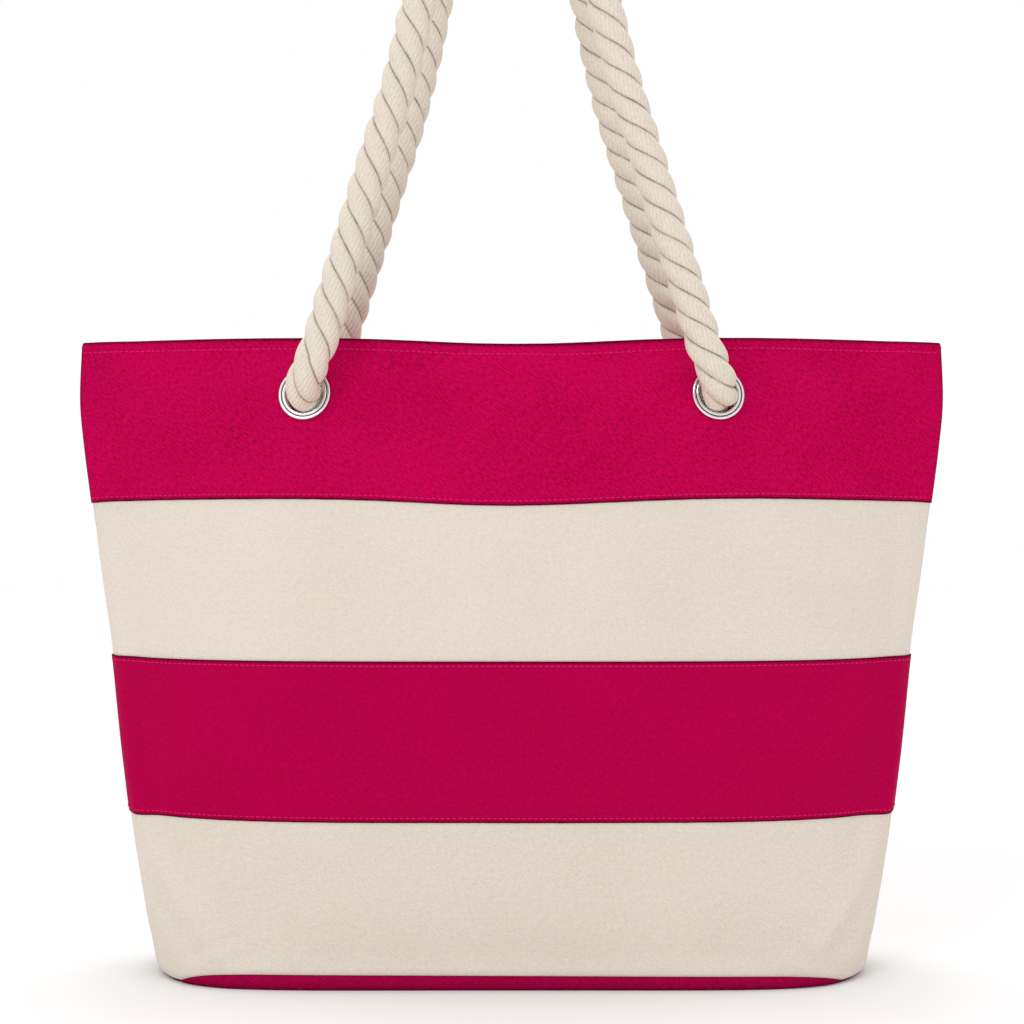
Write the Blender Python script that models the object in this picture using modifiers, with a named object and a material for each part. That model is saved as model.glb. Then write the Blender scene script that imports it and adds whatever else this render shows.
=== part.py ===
"""Striped canvas beach tote with two rope handles, as separate sewn panels and fittings.

Units are metres, +Z is up and the front of the bag faces -Y. The origin is the middle of the base.
The bag is one lofted form: a rounded rectangle at the base that narrows to a lens at the mouth.
Every cloth panel is a patch of that form, or of a layer a few millimetres inside it.
"""

import math

import bmesh
import bpy
import numpy as np
from mathutils import Matrix, Vector

MM = 0.001

# Form of the bag: height, half width, half depth, and the two section exponents.
# A section is  depth * (1 - |x / width| ** squareness) ** fullness.
STATIONS_MM = (
    (0, 203.5, 67.5, 8.0, 0.50),
    (60, 215.5, 67.0, 4.5, 0.50),
    (120, 224.0, 68.0, 4.0, 0.52),
    (190, 232.0, 67.0, 2.9, 0.61),
    (240, 239.5, 64.5, 2.5, 0.78),
    (270, 243.5, 61.0, 2.2, 0.95),
    (300, 247.5, 55.5, 2.0, 1.00),
    (325, 250.0, 49.0, 2.0, 1.00),
    (361, 249.0, 39.0, 2.0, 1.00),
)
BASE_EDGE_HEIGHT = 8 * MM
BASE_EDGE_SIDE = 5 * MM
BASE_EDGE_FRONT = 2 * MM

# Seam heights, measured at the eyelets, where the mouth is highest.
MOUTH = 361 * MM
TOP_SEAM = 271 * MM
MIDDLE_SEAM = 180 * MM
LOWER_SEAM = 92 * MM
BASE_SEAM = 8 * MM
BASE_SEAM_CORNER = 2.6 * MM
BASE_GAP = 1.0 * MM
MOUTH_SAG = 4.2 * MM
SAG_HALF_WIDTH = 75 * MM
CORNER_DROP = 3 * MM
FACING_BOTTOM = 299 * MM
LINING_BOTTOM = 8.2 * MM

# Cloth layers, as depths below the outer surface.
GAP = 0.3 * MM
CANVAS = (0.0, 1.4 * MM)
INNER_LAYER = (2.4 * MM, 3.4 * MM)
POCKET_LAYER = (4.8 * MM, 5.6 * MM)
POCKET_HALF_WIDTH = 80 * MM
POCKET_BOTTOM = 120 * MM
POCKET_TOP = 235 * MM

BOARD_BOTTOM = 1.9 * MM
BOARD_THICK = 2.4 * MM
BOARD_INSET = 10 * MM
BASE_LINING_BOTTOM = 4.6 * MM
BASE_LINING_THICK = 0.8 * MM
BASE_LINING_INSET = 5.5 * MM

EYELET_X = 116 * MM
EYELET_Z = 329 * MM
EYELET_BORE = 11 * MM
BARREL_RADIUS = 12 * MM
FLANGE_RADIUS = 15 * MM
HOLE_RADIUS = 12.4 * MM

ROPE_RADIUS = 10 * MM
PIVOT = Vector((112.5 * MM, 57 * MM, 335 * MM))
ROPE_SHOULDER = Vector((105.8 * MM, 57 * MM, 357 * MM))
# Half of a handle above its shoulder, as (x, z) in millimetres, up to the middle of the arch.
HANDLE_ROUTE_MM = ((91.5, 404), (76, 455), (62, 500), (51.5, 543), (44, 578), (30, 605), (11, 619))
KNOT_CENTRE = Vector((115 * MM, 20.5 * MM, 295 * MM))
KNOT_RADII = (22 * MM, 17.5 * MM, 21 * MM)
TAIL_BOTTOM = 252 * MM
TAIL_SHARE = 0.92  # a rope's free end is pulled a little thinner
STUB_DEPTHS = (10 * MM, 20 * MM)  # how far inside the eyelet the rope still runs straight, then bends down
STUB_DROP = 5 * MM
WHIPPING_RISE = 3 * MM
BALL_ANGLES = (86, 66, 44, 22)  # rings of a handle's round end, in degrees from its side

SNAP_Z = 338 * MM
SNAP_RADIUS = 9 * MM
POST_RADIUS = 2 * MM
POST_HOLE = 2.4 * MM

COLUMNS = 20
TURNED_STEPS = 20

PINK = (0.53, 0.0035, 0.072)
DARK_PINK = (0.27, 0.004, 0.045)
CREAM = (0.80, 0.74, 0.68)
LINING = (0.76, 0.71, 0.64)
ROPE = (0.83, 0.76, 0.66)
CHROME = (0.78, 0.78, 0.80)
BOARD = (0.42, 0.40, 0.37)
THREAD = (0.86, 0.82, 0.75)


def clear_scene():
    for obj in list(bpy.data.objects):
        bpy.data.objects.remove(obj, do_unlink=True)


def collection(name, hidden=False):
    made = bpy.data.collections.new(name)
    bpy.context.scene.collection.children.link(made)
    made.hide_render = hidden
    return made


def material(name, color, roughness, metallic=0.0):
    made = bpy.data.materials.new(name)
    made.use_nodes = True
    shader = made.node_tree.nodes["Principled BSDF"]
    shader.inputs["Base Color"].default_value = (*color, 1.0)
    shader.inputs["Roughness"].default_value = roughness
    shader.inputs["Metallic"].default_value = metallic
    made.diffuse_color = (*color, 1.0)
    return made


def place(obj, home, finish=None):
    """Moves an object to its collection and gives it a material of its own."""
    for owner in list(obj.users_collection):
        owner.objects.unlink(obj)
    home.objects.link(obj)
    if finish:
        obj.data.materials.clear()
        obj.data.materials.append(material(obj.name, *finish))
    else:
        obj.hide_render = True
        obj.display_type = "WIRE"
    return obj


# ---------------------------------------------------------------- the form


def station(height):
    """Half width, half depth and exponents at each height, on smooth curves through the stations."""
    table = np.array(STATIONS_MM, float)
    heights = table[:, 0] * MM
    slopes = np.gradient(table, heights, axis=0)
    height = np.clip(np.asarray(height, float), heights[0], heights[-1])
    low = np.clip(np.searchsorted(heights, height, side="right") - 1, 0, len(heights) - 2)
    span = heights[low + 1] - heights[low]
    t = ((height - heights[low]) / span)[..., None]
    span = span[..., None]
    rise = t * t * (3 - 2 * t)
    found = table[low] * (1 - rise) + table[low + 1] * rise
    found += span * (t * (1 - t) ** 2 * slopes[low] - t * t * (1 - t) * slopes[low + 1])
    return found[..., 1] * MM, found[..., 2] * MM, found[..., 3], found[..., 4]


def surface(across, height, side):
    """A point of the outer surface. across runs -1 to 1 between the side seams; side is -1 in front."""
    across, height = np.broadcast_arrays(np.asarray(across, float), np.asarray(height, float))
    width, depth, squareness, fullness = station(height)
    turn = 1 - np.clip(height / BASE_EDGE_HEIGHT, 0, 1)
    tuck = 1 - np.sqrt(1 - turn**2)
    width = width - BASE_EDGE_SIDE * tuck
    depth = depth - BASE_EDGE_FRONT * tuck
    share = np.sin(across * math.pi / 2)
    x = width * share
    y = side * depth * np.clip(1 - np.abs(share) ** squareness, 0, None) ** fullness
    sag = MOUTH_SAG * np.interp(height, (MIDDLE_SEAM, TOP_SEAM), (0, 1))
    drop = CORNER_DROP * np.interp(height, (MIDDLE_SEAM, TOP_SEAM, MOUTH), (0, 1, 0.35))
    z = height - sag * np.exp(-((x / SAG_HALF_WIDTH) ** 2)) - drop * np.abs(share) ** 6
    return np.stack([x, y, z], axis=-1)


def surface_frame(x, height, side):
    """The point at this x, and the direction out of the surface there."""
    width = float(station(height)[0])
    across = math.asin(x / width) * 2 / math.pi
    step = 1e-3
    point = surface(across, height, side)
    right = surface(across + step, height, side) - surface(across - step, height, side)
    up = surface(across, height + step, side) - surface(across, height - step, side)
    out = Vector(np.cross(right, up) * -side)
    return Vector(point), out.normalized()


def base_seam(across):
    share = np.abs(np.sin(np.asarray(across) * math.pi / 2))
    return BASE_SEAM - (BASE_SEAM - BASE_SEAM_CORNER) * np.clip(share / 0.93, 0, 1) ** 12


# ---------------------------------------------------------------- makers


def mesh_object(name, points, faces):
    mesh = bpy.data.meshes.new(name)
    mesh.from_pydata([tuple(p) for p in points], [], faces)
    mesh.update()
    obj = bpy.data.objects.new(name, mesh)
    bpy.context.scene.collection.objects.link(obj)
    return obj


def grid_faces(rows, columns, closed=False):
    faces = []
    for r in range(rows - 1):
        for c in range(columns if closed else columns - 1):
            d = (c + 1) % columns
            faces.append((r * columns + c, r * columns + d, (r + 1) * columns + d, (r + 1) * columns + c))
    return faces


def face_outwards(obj, inside=Vector((0, 0, 0.15))):
    """Turns an open patch round if its normals point at the middle of the bag."""
    mesh = bmesh.new()
    mesh.from_mesh(obj.data)
    lean = sum(f.normal.dot(f.calc_center_median() - inside) * f.calc_area() for f in mesh.faces)
    if lean < 0:
        bmesh.ops.reverse_faces(mesh, faces=mesh.faces)
    mesh.to_mesh(obj.data)
    mesh.free()


def thicken(obj, layer):
    """Solidify from one depth below the surface to another."""
    shell = obj.modifiers.new("thickness", "SOLIDIFY")
    shell.thickness = layer[1] - layer[0]
    shell.offset = -1 - 2 * layer[0] / shell.thickness
    shell.use_even_offset = True


def cut(obj, cutter, operation="DIFFERENCE"):
    change = obj.modifiers.new(cutter.name, "BOOLEAN")
    change.operation = operation
    change.solver = "EXACT"
    change.use_self = operation == "UNION"
    change.object = cutter


def panel(name, low, high, side, layer, finish, rows=5, limit=1.0, crowd=1.0):
    """A cloth panel between two heights. low may be a function of across; crowd packs rows at the bottom."""
    across = np.linspace(-limit, limit, COLUMNS + 1)
    bottom = low(across) if callable(low) else np.full_like(across, low)
    top = np.full_like(across, high)
    share = np.linspace(0, 1, rows)[:, None] ** crowd
    points = surface(across[None, :], bottom + (top - bottom) * share, side)
    obj = mesh_object(name, points.reshape(-1, 3), grid_faces(rows, COLUMNS + 1))
    face_outwards(obj)
    thicken(obj, layer)
    place(obj, BAG, finish)
    return obj


def turned(name, profile, point, axis, finish):
    """A ring or disc turned about its axis. The profile is (radius, height) in millimetres."""
    closed = profile[0][0] > 0
    count = len(profile)
    edges = [(i, (i + 1) % count) for i in range(count if closed else count - 1)]
    mesh = bpy.data.meshes.new(name)
    mesh.from_pydata([(r * MM, 0, h * MM) for r, h in profile], edges, [])
    obj = bpy.data.objects.new(name, mesh)
    obj.matrix_world = Matrix.Translation(point) @ axis.to_track_quat("Z", "Y").to_matrix().to_4x4()
    spin = obj.modifiers.new("turn", "SCREW")
    spin.steps = TURNED_STEPS
    spin.render_steps = TURNED_STEPS
    spin.use_merge_vertices = True
    spin.merge_threshold = 0.00001
    spin.use_smooth_shade = True
    place(obj, BAG, finish)
    return obj


def smooth_route(points, spacing):
    """Evenly spaced points on a Catmull-Rom curve through the given ones."""
    points = [Vector(p) for p in points]
    ends = [points[0] * 2 - points[1], *points, points[-1] * 2 - points[-2]]
    fine = []
    for a, b, c, d in zip(ends, ends[1:], ends[2:], ends[3:]):
        for step in range(24):
            t = step / 24
            fine.append(
                0.5 * (2 * b + (c - a) * t + (2 * a - 5 * b + 4 * c - d) * t**2 + (3 * b - a - 3 * c + d) * t**3)
            )
    fine = np.array([*fine, points[-1]])
    along = np.concatenate([[0], np.cumsum(np.linalg.norm(np.diff(fine, axis=0), axis=1))])
    at = np.linspace(0, along[-1], max(2, round(along[-1] / spacing) + 1))
    return np.stack([np.interp(at, along, fine[:, k]) for k in range(3)], axis=1)


def rope(name, points, radii, resolution=3):
    """A curve with a round section and filled caps; radii are shares of the rope's radius."""
    curve = bpy.data.curves.new(name, "CURVE")
    curve.dimensions = "3D"
    curve.bevel_depth = ROPE_RADIUS
    curve.bevel_resolution = resolution
    curve.use_fill_caps = True
    spline = curve.splines.new("POLY")
    spline.points.add(len(points) - 1)
    for point, place_at, share in zip(spline.points, points, radii):
        point.co = (*place_at, 1)
        point.radius = share
    obj = bpy.data.objects.new(name, curve)
    bpy.context.scene.collection.objects.link(obj)
    return obj


def as_mesh(obj):
    """Replaces a curve object with its welded mesh, so that it can be joined or cut."""
    bpy.context.view_layer.update()
    graph = bpy.context.evaluated_depsgraph_get()
    mesh = bpy.data.meshes.new_from_object(obj.evaluated_get(graph))
    shape = bmesh.new()
    shape.from_mesh(mesh)
    bmesh.ops.remove_doubles(shape, verts=shape.verts, dist=1e-6)
    shape.to_mesh(mesh)
    shape.free()
    name, where = obj.name, obj.matrix_world.copy()
    bpy.data.objects.remove(obj, do_unlink=True)
    made = bpy.data.objects.new(name, mesh)
    made.matrix_world = where
    bpy.context.scene.collection.objects.link(made)
    return made


def outline(inset, low_height):
    """The base's plan outline, a distance inside the outer surface, for a flat sheet or board."""
    across = np.linspace(-1, 1, COLUMNS + 1)
    front = surface(across, low_height, -1)[:, :2]
    back = surface(across, low_height, 1)[::-1, :2]
    loop = np.concatenate([front[:-1], back[:-1]])
    size = np.abs(loop).max(axis=0)
    return loop * (size - inset) / size


def flat_piece(name, inset, low_height, bottom, thick, finish):
    curve = bpy.data.curves.new(name, "CURVE")
    curve.dimensions = "2D"
    curve.fill_mode = "BOTH"
    curve.extrude = thick / 2
    points = outline(inset, low_height)
    spline = curve.splines.new("POLY")
    spline.use_cyclic_u = True
    spline.points.add(len(points) - 1)
    for point, (x, y) in zip(spline.points, points):
        point.co = (x, y, 0, 1)
    obj = bpy.data.objects.new(name, curve)
    obj.location.z = bottom + thick / 2
    place(obj, BAG, finish)
    return obj


# ---------------------------------------------------------------- cutters


def half_space(name, side):
    """A block that covers everything past the side seams' plane, with half of the seam's gap."""
    size = Vector((0.7, 0.2, 0.5))
    bpy.ops.mesh.primitive_cube_add(size=1, location=(0, -side * (size.y - GAP) / 2, MOUTH / 2))
    block = bpy.context.object
    block.name = name
    block.scale = size
    bpy.ops.object.transform_apply(location=False, rotation=False, scale=True)
    return place(block, CUTTERS)


def hole_cutter(name, point, axis, radius):
    bpy.ops.mesh.primitive_cylinder_add(vertices=TURNED_STEPS, radius=radius, depth=16 * MM)
    drill = bpy.context.object
    drill.name = name
    drill.matrix_world = Matrix.Translation(point) @ axis.to_track_quat("Z", "Y").to_matrix().to_4x4()
    return place(drill, CUTTERS)


# ---------------------------------------------------------------- pieces


def make_side(word, side, seam_cutter):
    """The four canvas bands, the facing and the lining of the front or the back."""
    bands = (
        ("top_band", TOP_SEAM + GAP / 2, MOUTH, PINK, 4, 1),
        ("upper_cream_band", MIDDLE_SEAM + GAP / 2, TOP_SEAM - GAP / 2, CREAM, 4, 1),
        ("middle_band", LOWER_SEAM + GAP / 2, MIDDLE_SEAM - GAP / 2, PINK, 4, 1),
        ("lower_cream_band", lambda s: base_seam(s) + BASE_GAP / 2, LOWER_SEAM - GAP / 2, CREAM, 7, 2),
    )
    made = {}
    for name, low, high, color, rows, crowd in bands:
        made[name] = panel(f"{word}_{name}", low, high, side, CANVAS, (color, 0.85), rows, crowd=crowd)
    made["facing"] = panel(f"{word}_facing", FACING_BOTTOM, MOUTH, side, INNER_LAYER, (PINK, 0.85), 3)
    made["lining"] = panel(
        f"{word}_lining", LINING_BOTTOM, FACING_BOTTOM - GAP, side, INNER_LAYER, (LINING, 0.9), 11, crowd=1.3
    )
    for obj in made.values():
        cut(obj, seam_cutter)
    return made


def make_eyelet(word, hand_word, side, hand, cloth):
    """A domed ring with a barrel through the cloth, rolled over a washer on the inside."""
    point, out = surface_frame(hand * EYELET_X, EYELET_Z, side)
    cloth_depth = INNER_LAYER[1] / MM
    washer_top = -cloth_depth - 0.9
    washer_low = washer_top - 0.8
    lip_top = washer_low - 0.3
    bore, barrel, flange = (r / MM for r in (EYELET_BORE, BARREL_RADIUS, FLANGE_RADIUS))
    ring = (
        (bore, 1.0),
        (bore + 0.7, 1.9),
        (bore + 1.9, 2.3),
        (bore + 3.1, 1.7),
        (flange, 0.4),
        (barrel, 0.4),
        (barrel, lip_top),
        (barrel + 1.4, lip_top),
        (barrel + 1.6, lip_top - 0.5),
        (barrel + 0.8, lip_top - 1.1),
        (bore + 0.4, lip_top - 1.0),
        (bore, lip_top - 0.4),
    )
    turned(f"{word}_{hand_word}_eyelet", ring, point, out, (CHROME, 0.18, 1.0))
    washer = (
        (barrel + 0.3, washer_top),
        (flange + 0.8, washer_top),
        (flange + 0.8, washer_low + 0.2),
        (flange + 0.4, washer_low),
        (barrel + 0.3, washer_low),
    )
    turned(f"{word}_{hand_word}_eyelet_washer", washer, point, out, (CHROME, 0.25, 1.0))
    drill = hole_cutter(f"{word}_{hand_word}_eyelet_hole", point, out, HOLE_RADIUS)
    for key in ("top_band", "facing"):
        cut(cloth[key], drill)


def make_knot(word, hand_word, side, hand):
    """The rope's end: a stub through the eyelet, an overhand knot inside the bag, and a short tail."""
    point, out = surface_frame(hand * EYELET_X, EYELET_Z, side)
    pivot = Vector((hand * PIVOT.x, side * PIVOT.y, PIVOT.z))
    centre = Vector((hand * KNOT_CENTRE.x, side * KNOT_CENTRE.y, KNOT_CENTRE.z))
    reach = (pivot - point).dot(out) - ROPE_RADIUS - 2 * GAP
    name = f"{word}_{hand_word}_knot"
    bpy.ops.mesh.primitive_uv_sphere_add(segments=16, ring_count=10, radius=1, location=centre)
    knot = bpy.context.object
    knot.name = name
    knot.scale = KNOT_RADII
    bpy.ops.object.transform_apply(location=False, rotation=False, scale=True)
    place(knot, BAG, (ROPE, 0.9))
    route = (
        point + out * reach,
        point,
        point - out * STUB_DEPTHS[0],
        point - out * STUB_DEPTHS[1] - Vector((0, 0, STUB_DROP)),
        centre + Vector((0, -side * 4 * MM, 8 * MM)),
    )
    points = smooth_route(route, 4 * MM)
    stub = as_mesh(rope(f"{name}_stub", points, [1] * len(points), 2))
    tail_points = smooth_route((centre, centre + Vector((0, 0, -20 * MM)), (*centre.xy, TAIL_BOTTOM)), 8 * MM)
    tail = as_mesh(rope(f"{name}_tail", tail_points, [TAIL_SHARE] * len(tail_points), 2))
    for piece in (stub, tail):
        cut(knot, place(piece, CUTTERS), "UNION")
    make_whipping(word, hand_word, centre)


def make_whipping(word, hand_word, centre):
    """Thread wound round the end of the tail, so that the strands don't open."""
    inner = ROPE_RADIUS / MM * TAIL_SHARE + GAP / MM
    bottom = Vector((*centre.xy, TAIL_BOTTOM + WHIPPING_RISE))
    sleeve = ((inner, 12), (inner + 0.9, 12), (inner + 1.1, 11), (inner + 1.1, 1), (inner + 0.9, 0), (inner, 0))
    turned(f"{word}_{hand_word}_rope_whipping", sleeve, bottom, Vector((0, 0, 1)), (THREAD, 0.8))


def make_handle(word, side):
    """One rope loop. Its ends are round balls about the hinge line, just outside the eyelets."""
    half = [(PIVOT.x, PIVOT.z), (ROPE_SHOULDER.x, ROPE_SHOULDER.z)]
    half += [(x * MM, z * MM) for x, z in HANDLE_ROUTE_MM]
    route = [(-x, z) for x, z in half] + [(x, z) for x, z in reversed(half)]
    hinge = Vector((0, side * PIVOT.y, PIVOT.z))
    points = smooth_route([(x, 0, z - PIVOT.z) for x, z in route], 14 * MM)
    start = Vector(points[0])
    tip = (start - Vector(points[1])).normalized()
    angles = np.radians(BALL_ANGLES)
    ball = [tuple(start + tip * ROPE_RADIUS * math.sin(a)) for a in angles]
    mirrored = [(-x, y, z) for x, y, z in reversed(ball)]
    shares = [math.cos(a) for a in angles]
    path = [*ball, *map(tuple, points), *mirrored]
    radii = [*shares, *[1] * len(points), *reversed(shares)]
    loop = as_mesh(rope(f"{word}_rope_handle", path, radii, 2))
    loop.location = hinge
    return place(loop, BAG, (ROPE, 0.9))


def make_snap(side, name, face_profile, cloth):
    """Half of the magnetic snap on the facing, riveted through it to a thin plate behind."""
    point, out = surface_frame(0.0, SNAP_Z, side)
    inwards = -out
    depth = INNER_LAYER[1] / MM + 0.3
    post, radius = POST_RADIUS / MM, SNAP_RADIUS / MM
    plate_top, plate_low = CANVAS[1] / MM + 0.2, CANVAS[1] / MM + 0.7
    profile = [(r, depth + h) for r, h in face_profile]
    profile += [(radius, depth), (post, depth), (post, plate_top + 0.05), (0, plate_top + 0.05)]
    turned(name, profile, point, inwards, (CHROME, 0.3, 1.0))
    plate = ((post + 0.3, plate_low), (radius - 1, plate_low), (radius - 1, plate_top), (post + 0.3, plate_top))
    turned(f"{name}_plate", plate, point, inwards, (CHROME, 0.4, 1.0))
    cut(cloth["facing"], hole_cutter(f"{name}_hole", point, out, POST_HOLE))


def make_base():
    """The base panel turns up round its edge to meet the lowest bands; a board stiffens it."""
    across = np.linspace(-1, 1, COLUMNS + 1)
    front_seam, back_seam = base_seam(across), base_seam(across[::-1])
    loops = []
    for share in (0.3, 0.9, 1.0):
        ring = outline(0.0, 0.0) * share
        loops.append(np.column_stack([ring, np.zeros(len(ring))]))
    for share in (0.15, 0.4, 0.7, 1.0):
        front = surface(across, (front_seam - BASE_GAP / 2) * share, -1)[:-1]
        back = surface(across[::-1], (back_seam - BASE_GAP / 2) * share, 1)[:-1]
        loops.append(np.concatenate([front, back]))
    count = len(loops[0])
    points = np.concatenate(loops)
    points[:, 2] = np.clip(points[:, 2], 0, None)
    faces = grid_faces(len(loops), count, closed=True)
    points = np.concatenate([points, [[0, 0, 0]]])
    faces += [((i + 1) % count, i, len(points) - 1) for i in range(count)]
    obj = mesh_object("base_panel", points, faces)
    mesh = bmesh.new()
    mesh.from_mesh(obj.data)
    bmesh.ops.recalc_face_normals(mesh, faces=mesh.faces)
    mesh.to_mesh(obj.data)
    mesh.free()
    face_outwards(obj, Vector((0, 0, 0.1)))
    thicken(obj, CANVAS)
    place(obj, BAG, (DARK_PINK, 0.85))
    flat_piece("base_board", BOARD_INSET, BASE_EDGE_HEIGHT, BOARD_BOTTOM, BOARD_THICK, (BOARD, 0.8))
    flat_piece(
        "base_lining", BASE_LINING_INSET, BASE_EDGE_HEIGHT, BASE_LINING_BOTTOM, BASE_LINING_THICK, (LINING, 0.9)
    )


def make_pocket():
    """An open-topped patch pocket, sewn flat on the front lining."""
    limit = math.asin(POCKET_HALF_WIDTH / float(station(POCKET_BOTTOM)[0])) * 2 / math.pi
    panel("slip_pocket", POCKET_BOTTOM, POCKET_TOP, -1, POCKET_LAYER, (LINING, 0.9), 5, limit)


def main():
    cloths = {}
    for word, side in (("front", -1), ("back", 1)):
        cloth = make_side(word, side, half_space(f"{word}_seam_cutter", side))
        cloths[word] = cloth
        for hand_word, hand in (("left", -1), ("right", 1)):
            make_eyelet(word, hand_word, side, hand, cloth)
            make_knot(word, hand_word, side, hand)
        make_handle(word, side)
    socket_face = ((0, 0.9), (3.6, 0.9), (3.6, 2.6), (8.4, 2.6), (9.0, 2.0))
    stud_face = ((0, 3.2), (2.8, 3.2), (3.2, 2.8), (3.2, 1.2), (8.4, 1.2), (9.0, 0.8))
    make_snap(-1, "snap_socket", socket_face, cloths["front"])
    make_snap(1, "snap_stud", stud_face, cloths["back"])
    make_base()
    make_pocket()


clear_scene()
BAG = collection("canvas_tote_bag")
CUTTERS = collection("cutters", hidden=True)
main()
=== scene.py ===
# %% [markdown]
# # A striped canvas beach tote
# The bag is sewn from flat bands of canvas, but it never looks like five flat plates.
# It is one hollow form: a rounded rectangle where it stands, and a lens where the mouth is open.
# So every cloth piece here is a patch of one lofted surface, worked out with numpy,
# and the rope, the eyelets and the knots are profiles carried along a path or round an axis.
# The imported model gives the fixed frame, and each new piece takes its place from it.

# %% Load the frame
import math

import bmesh
import bpy
import numpy as np
from mathutils import Matrix, Vector


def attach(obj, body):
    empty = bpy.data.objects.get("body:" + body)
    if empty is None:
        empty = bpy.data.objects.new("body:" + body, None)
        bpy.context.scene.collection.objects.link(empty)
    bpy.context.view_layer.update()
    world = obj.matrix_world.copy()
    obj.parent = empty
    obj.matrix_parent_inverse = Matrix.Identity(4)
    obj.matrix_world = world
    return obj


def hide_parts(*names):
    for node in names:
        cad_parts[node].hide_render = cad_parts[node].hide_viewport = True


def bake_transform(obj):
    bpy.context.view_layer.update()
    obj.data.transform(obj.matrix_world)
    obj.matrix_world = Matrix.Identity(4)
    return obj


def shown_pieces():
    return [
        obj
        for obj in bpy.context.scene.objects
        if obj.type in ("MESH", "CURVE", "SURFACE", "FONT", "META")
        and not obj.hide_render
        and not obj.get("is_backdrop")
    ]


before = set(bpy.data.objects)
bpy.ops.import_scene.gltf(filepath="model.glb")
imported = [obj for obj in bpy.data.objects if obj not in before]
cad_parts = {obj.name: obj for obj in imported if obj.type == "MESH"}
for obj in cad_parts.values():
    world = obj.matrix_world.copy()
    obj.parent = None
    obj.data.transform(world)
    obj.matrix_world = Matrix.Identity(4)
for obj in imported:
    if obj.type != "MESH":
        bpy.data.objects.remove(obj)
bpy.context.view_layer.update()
MM = 0.001

# %% [markdown]
# ## Camera, light and floor
# The bag is seen straight from the front by a long lens at the height of its upper cream band,
# so its side edges stay straight and only the base shows that we look a little down on it.
# A soft light above and to the left, a weaker one on the right, a ceiling of light and a
# white room give the even light of a studio table. The floor is a plain pale sheet.

# %% Camera
CAMERA_DISTANCE = 1.2
CAMERA_HEIGHT = 0.2624
LENS = 72.74

camera = bpy.data.objects.new("camera", bpy.data.cameras.new("camera"))
camera.data.lens = LENS
camera.data.sensor_width = 36
camera.location = (0.0003, -CAMERA_DISTANCE, CAMERA_HEIGHT)
camera.rotation_euler = (math.radians(90), 0, 0)
bpy.context.scene.collection.objects.link(camera)
bpy.context.scene.camera = camera
bpy.context.scene.view_settings.view_transform = "Standard"


# %% Lights
def soft_light(name, place, aim, size, power):
    """An area light at place, turned so that its face looks at aim."""
    lamp = bpy.data.lights.new(name, "AREA")
    lamp.shape = "RECTANGLE"
    lamp.size, lamp.size_y = size
    lamp.energy = power
    obj = bpy.data.objects.new(name, lamp)
    obj.location = place
    toward = np.array(aim, float) - np.array(place, float)
    flat = math.hypot(toward[0], toward[1])
    obj.rotation_euler = (math.atan2(flat, -toward[2]), 0, math.atan2(-toward[0], toward[1]))
    bpy.context.scene.collection.objects.link(obj)


soft_light("key", (-0.8, -1.7, 1.6), (0, 0, 0.2), (0.7, 0.7), 7.6)
soft_light("fill", (1.6, -1.3, 0.9), (0, 0, 0.2), (1.0, 1.4), 0.8)
# A ceiling of light, the same all over the floor: a sun with a wide disc.
ceiling = bpy.data.lights.new("ceiling", "SUN")
ceiling.energy = 1.25
ceiling.angle = math.radians(36)
ceiling_lamp = bpy.data.objects.new("ceiling", ceiling)
ceiling_lamp.rotation_euler = (math.radians(-10), 0, 0)
bpy.context.scene.collection.objects.link(ceiling_lamp)

# The white sheet behind a product has its own lamps, brighter than the light on the product.
ROOM_LIGHT = 0.77
world = bpy.data.worlds.new("white_room")
world.use_nodes = True
room = world.node_tree
seen = room.nodes.new("ShaderNodeLightPath").outputs["Is Camera Ray"]
level = room.nodes.new("ShaderNodeMapRange")
level.inputs["To Min"].default_value = ROOM_LIGHT
level.inputs["To Max"].default_value = 1.0
room.links.new(seen, level.inputs["Value"])
room.nodes["Background"].inputs["Color"].default_value = (1, 1, 1, 1)
room.links.new(level.outputs["Result"], room.nodes["Background"].inputs["Strength"])
bpy.context.scene.world = world

# %% [markdown]
# ## Colours and nodes
# Colours are written as the sRGB hex values that a paint chart would give.
# Blender's shaders work in linear light, so one function turns the one into the other.
# A second small function adds a node with its settings and its links in one line.


# %% Colour and node helpers
def linear(code):
    """Linear RGBA of an sRGB hex colour: the sRGB curve undone, channel by channel."""
    parts = np.array([int(code[i : i + 2], 16) for i in (1, 3, 5)]) / 255
    low, high = parts / 12.92, ((parts + 0.055) / 1.055) ** 2.4
    return (*np.where(parts <= 0.04045, low, high), 1.0)


def add(tree, kind, settings=None, **inputs):
    """Adds a node. settings are its own values, and inputs are numbers, colours or sockets to link.
    An input goes by its socket's name, or by an underscore and the socket's number."""
    node = tree.nodes.new(kind)
    for key, value in (settings or {}).items():
        setattr(node, key, value)
    for key, value in inputs.items():
        socket = node.inputs[int(key[1:]) if key[1:].isdigit() else key.replace("_", " ")]
        if isinstance(value, bpy.types.NodeSocket):
            tree.links.new(value, socket)
        else:
            socket.default_value = value
    return node


def new_material(name):
    """A material with its node tree and its Principled shader."""
    made = bpy.data.materials.new(name)
    made.use_nodes = True
    return made, made.node_tree, made.node_tree.nodes["Principled BSDF"]


# %% The floor
floor_mesh = bpy.data.meshes.new("floor")
FLOOR_HALF = 6.0
floor_corners = np.array([(-1, -1, 0), (1, -1, 0), (1, 1, 0), (-1, 1, 0)]) * FLOOR_HALF
floor_mesh.from_pydata(floor_corners.tolist(), [], [(0, 1, 2, 3)])
floor = bpy.data.objects.new("floor", floor_mesh)
bpy.context.scene.collection.objects.link(floor)
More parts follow.
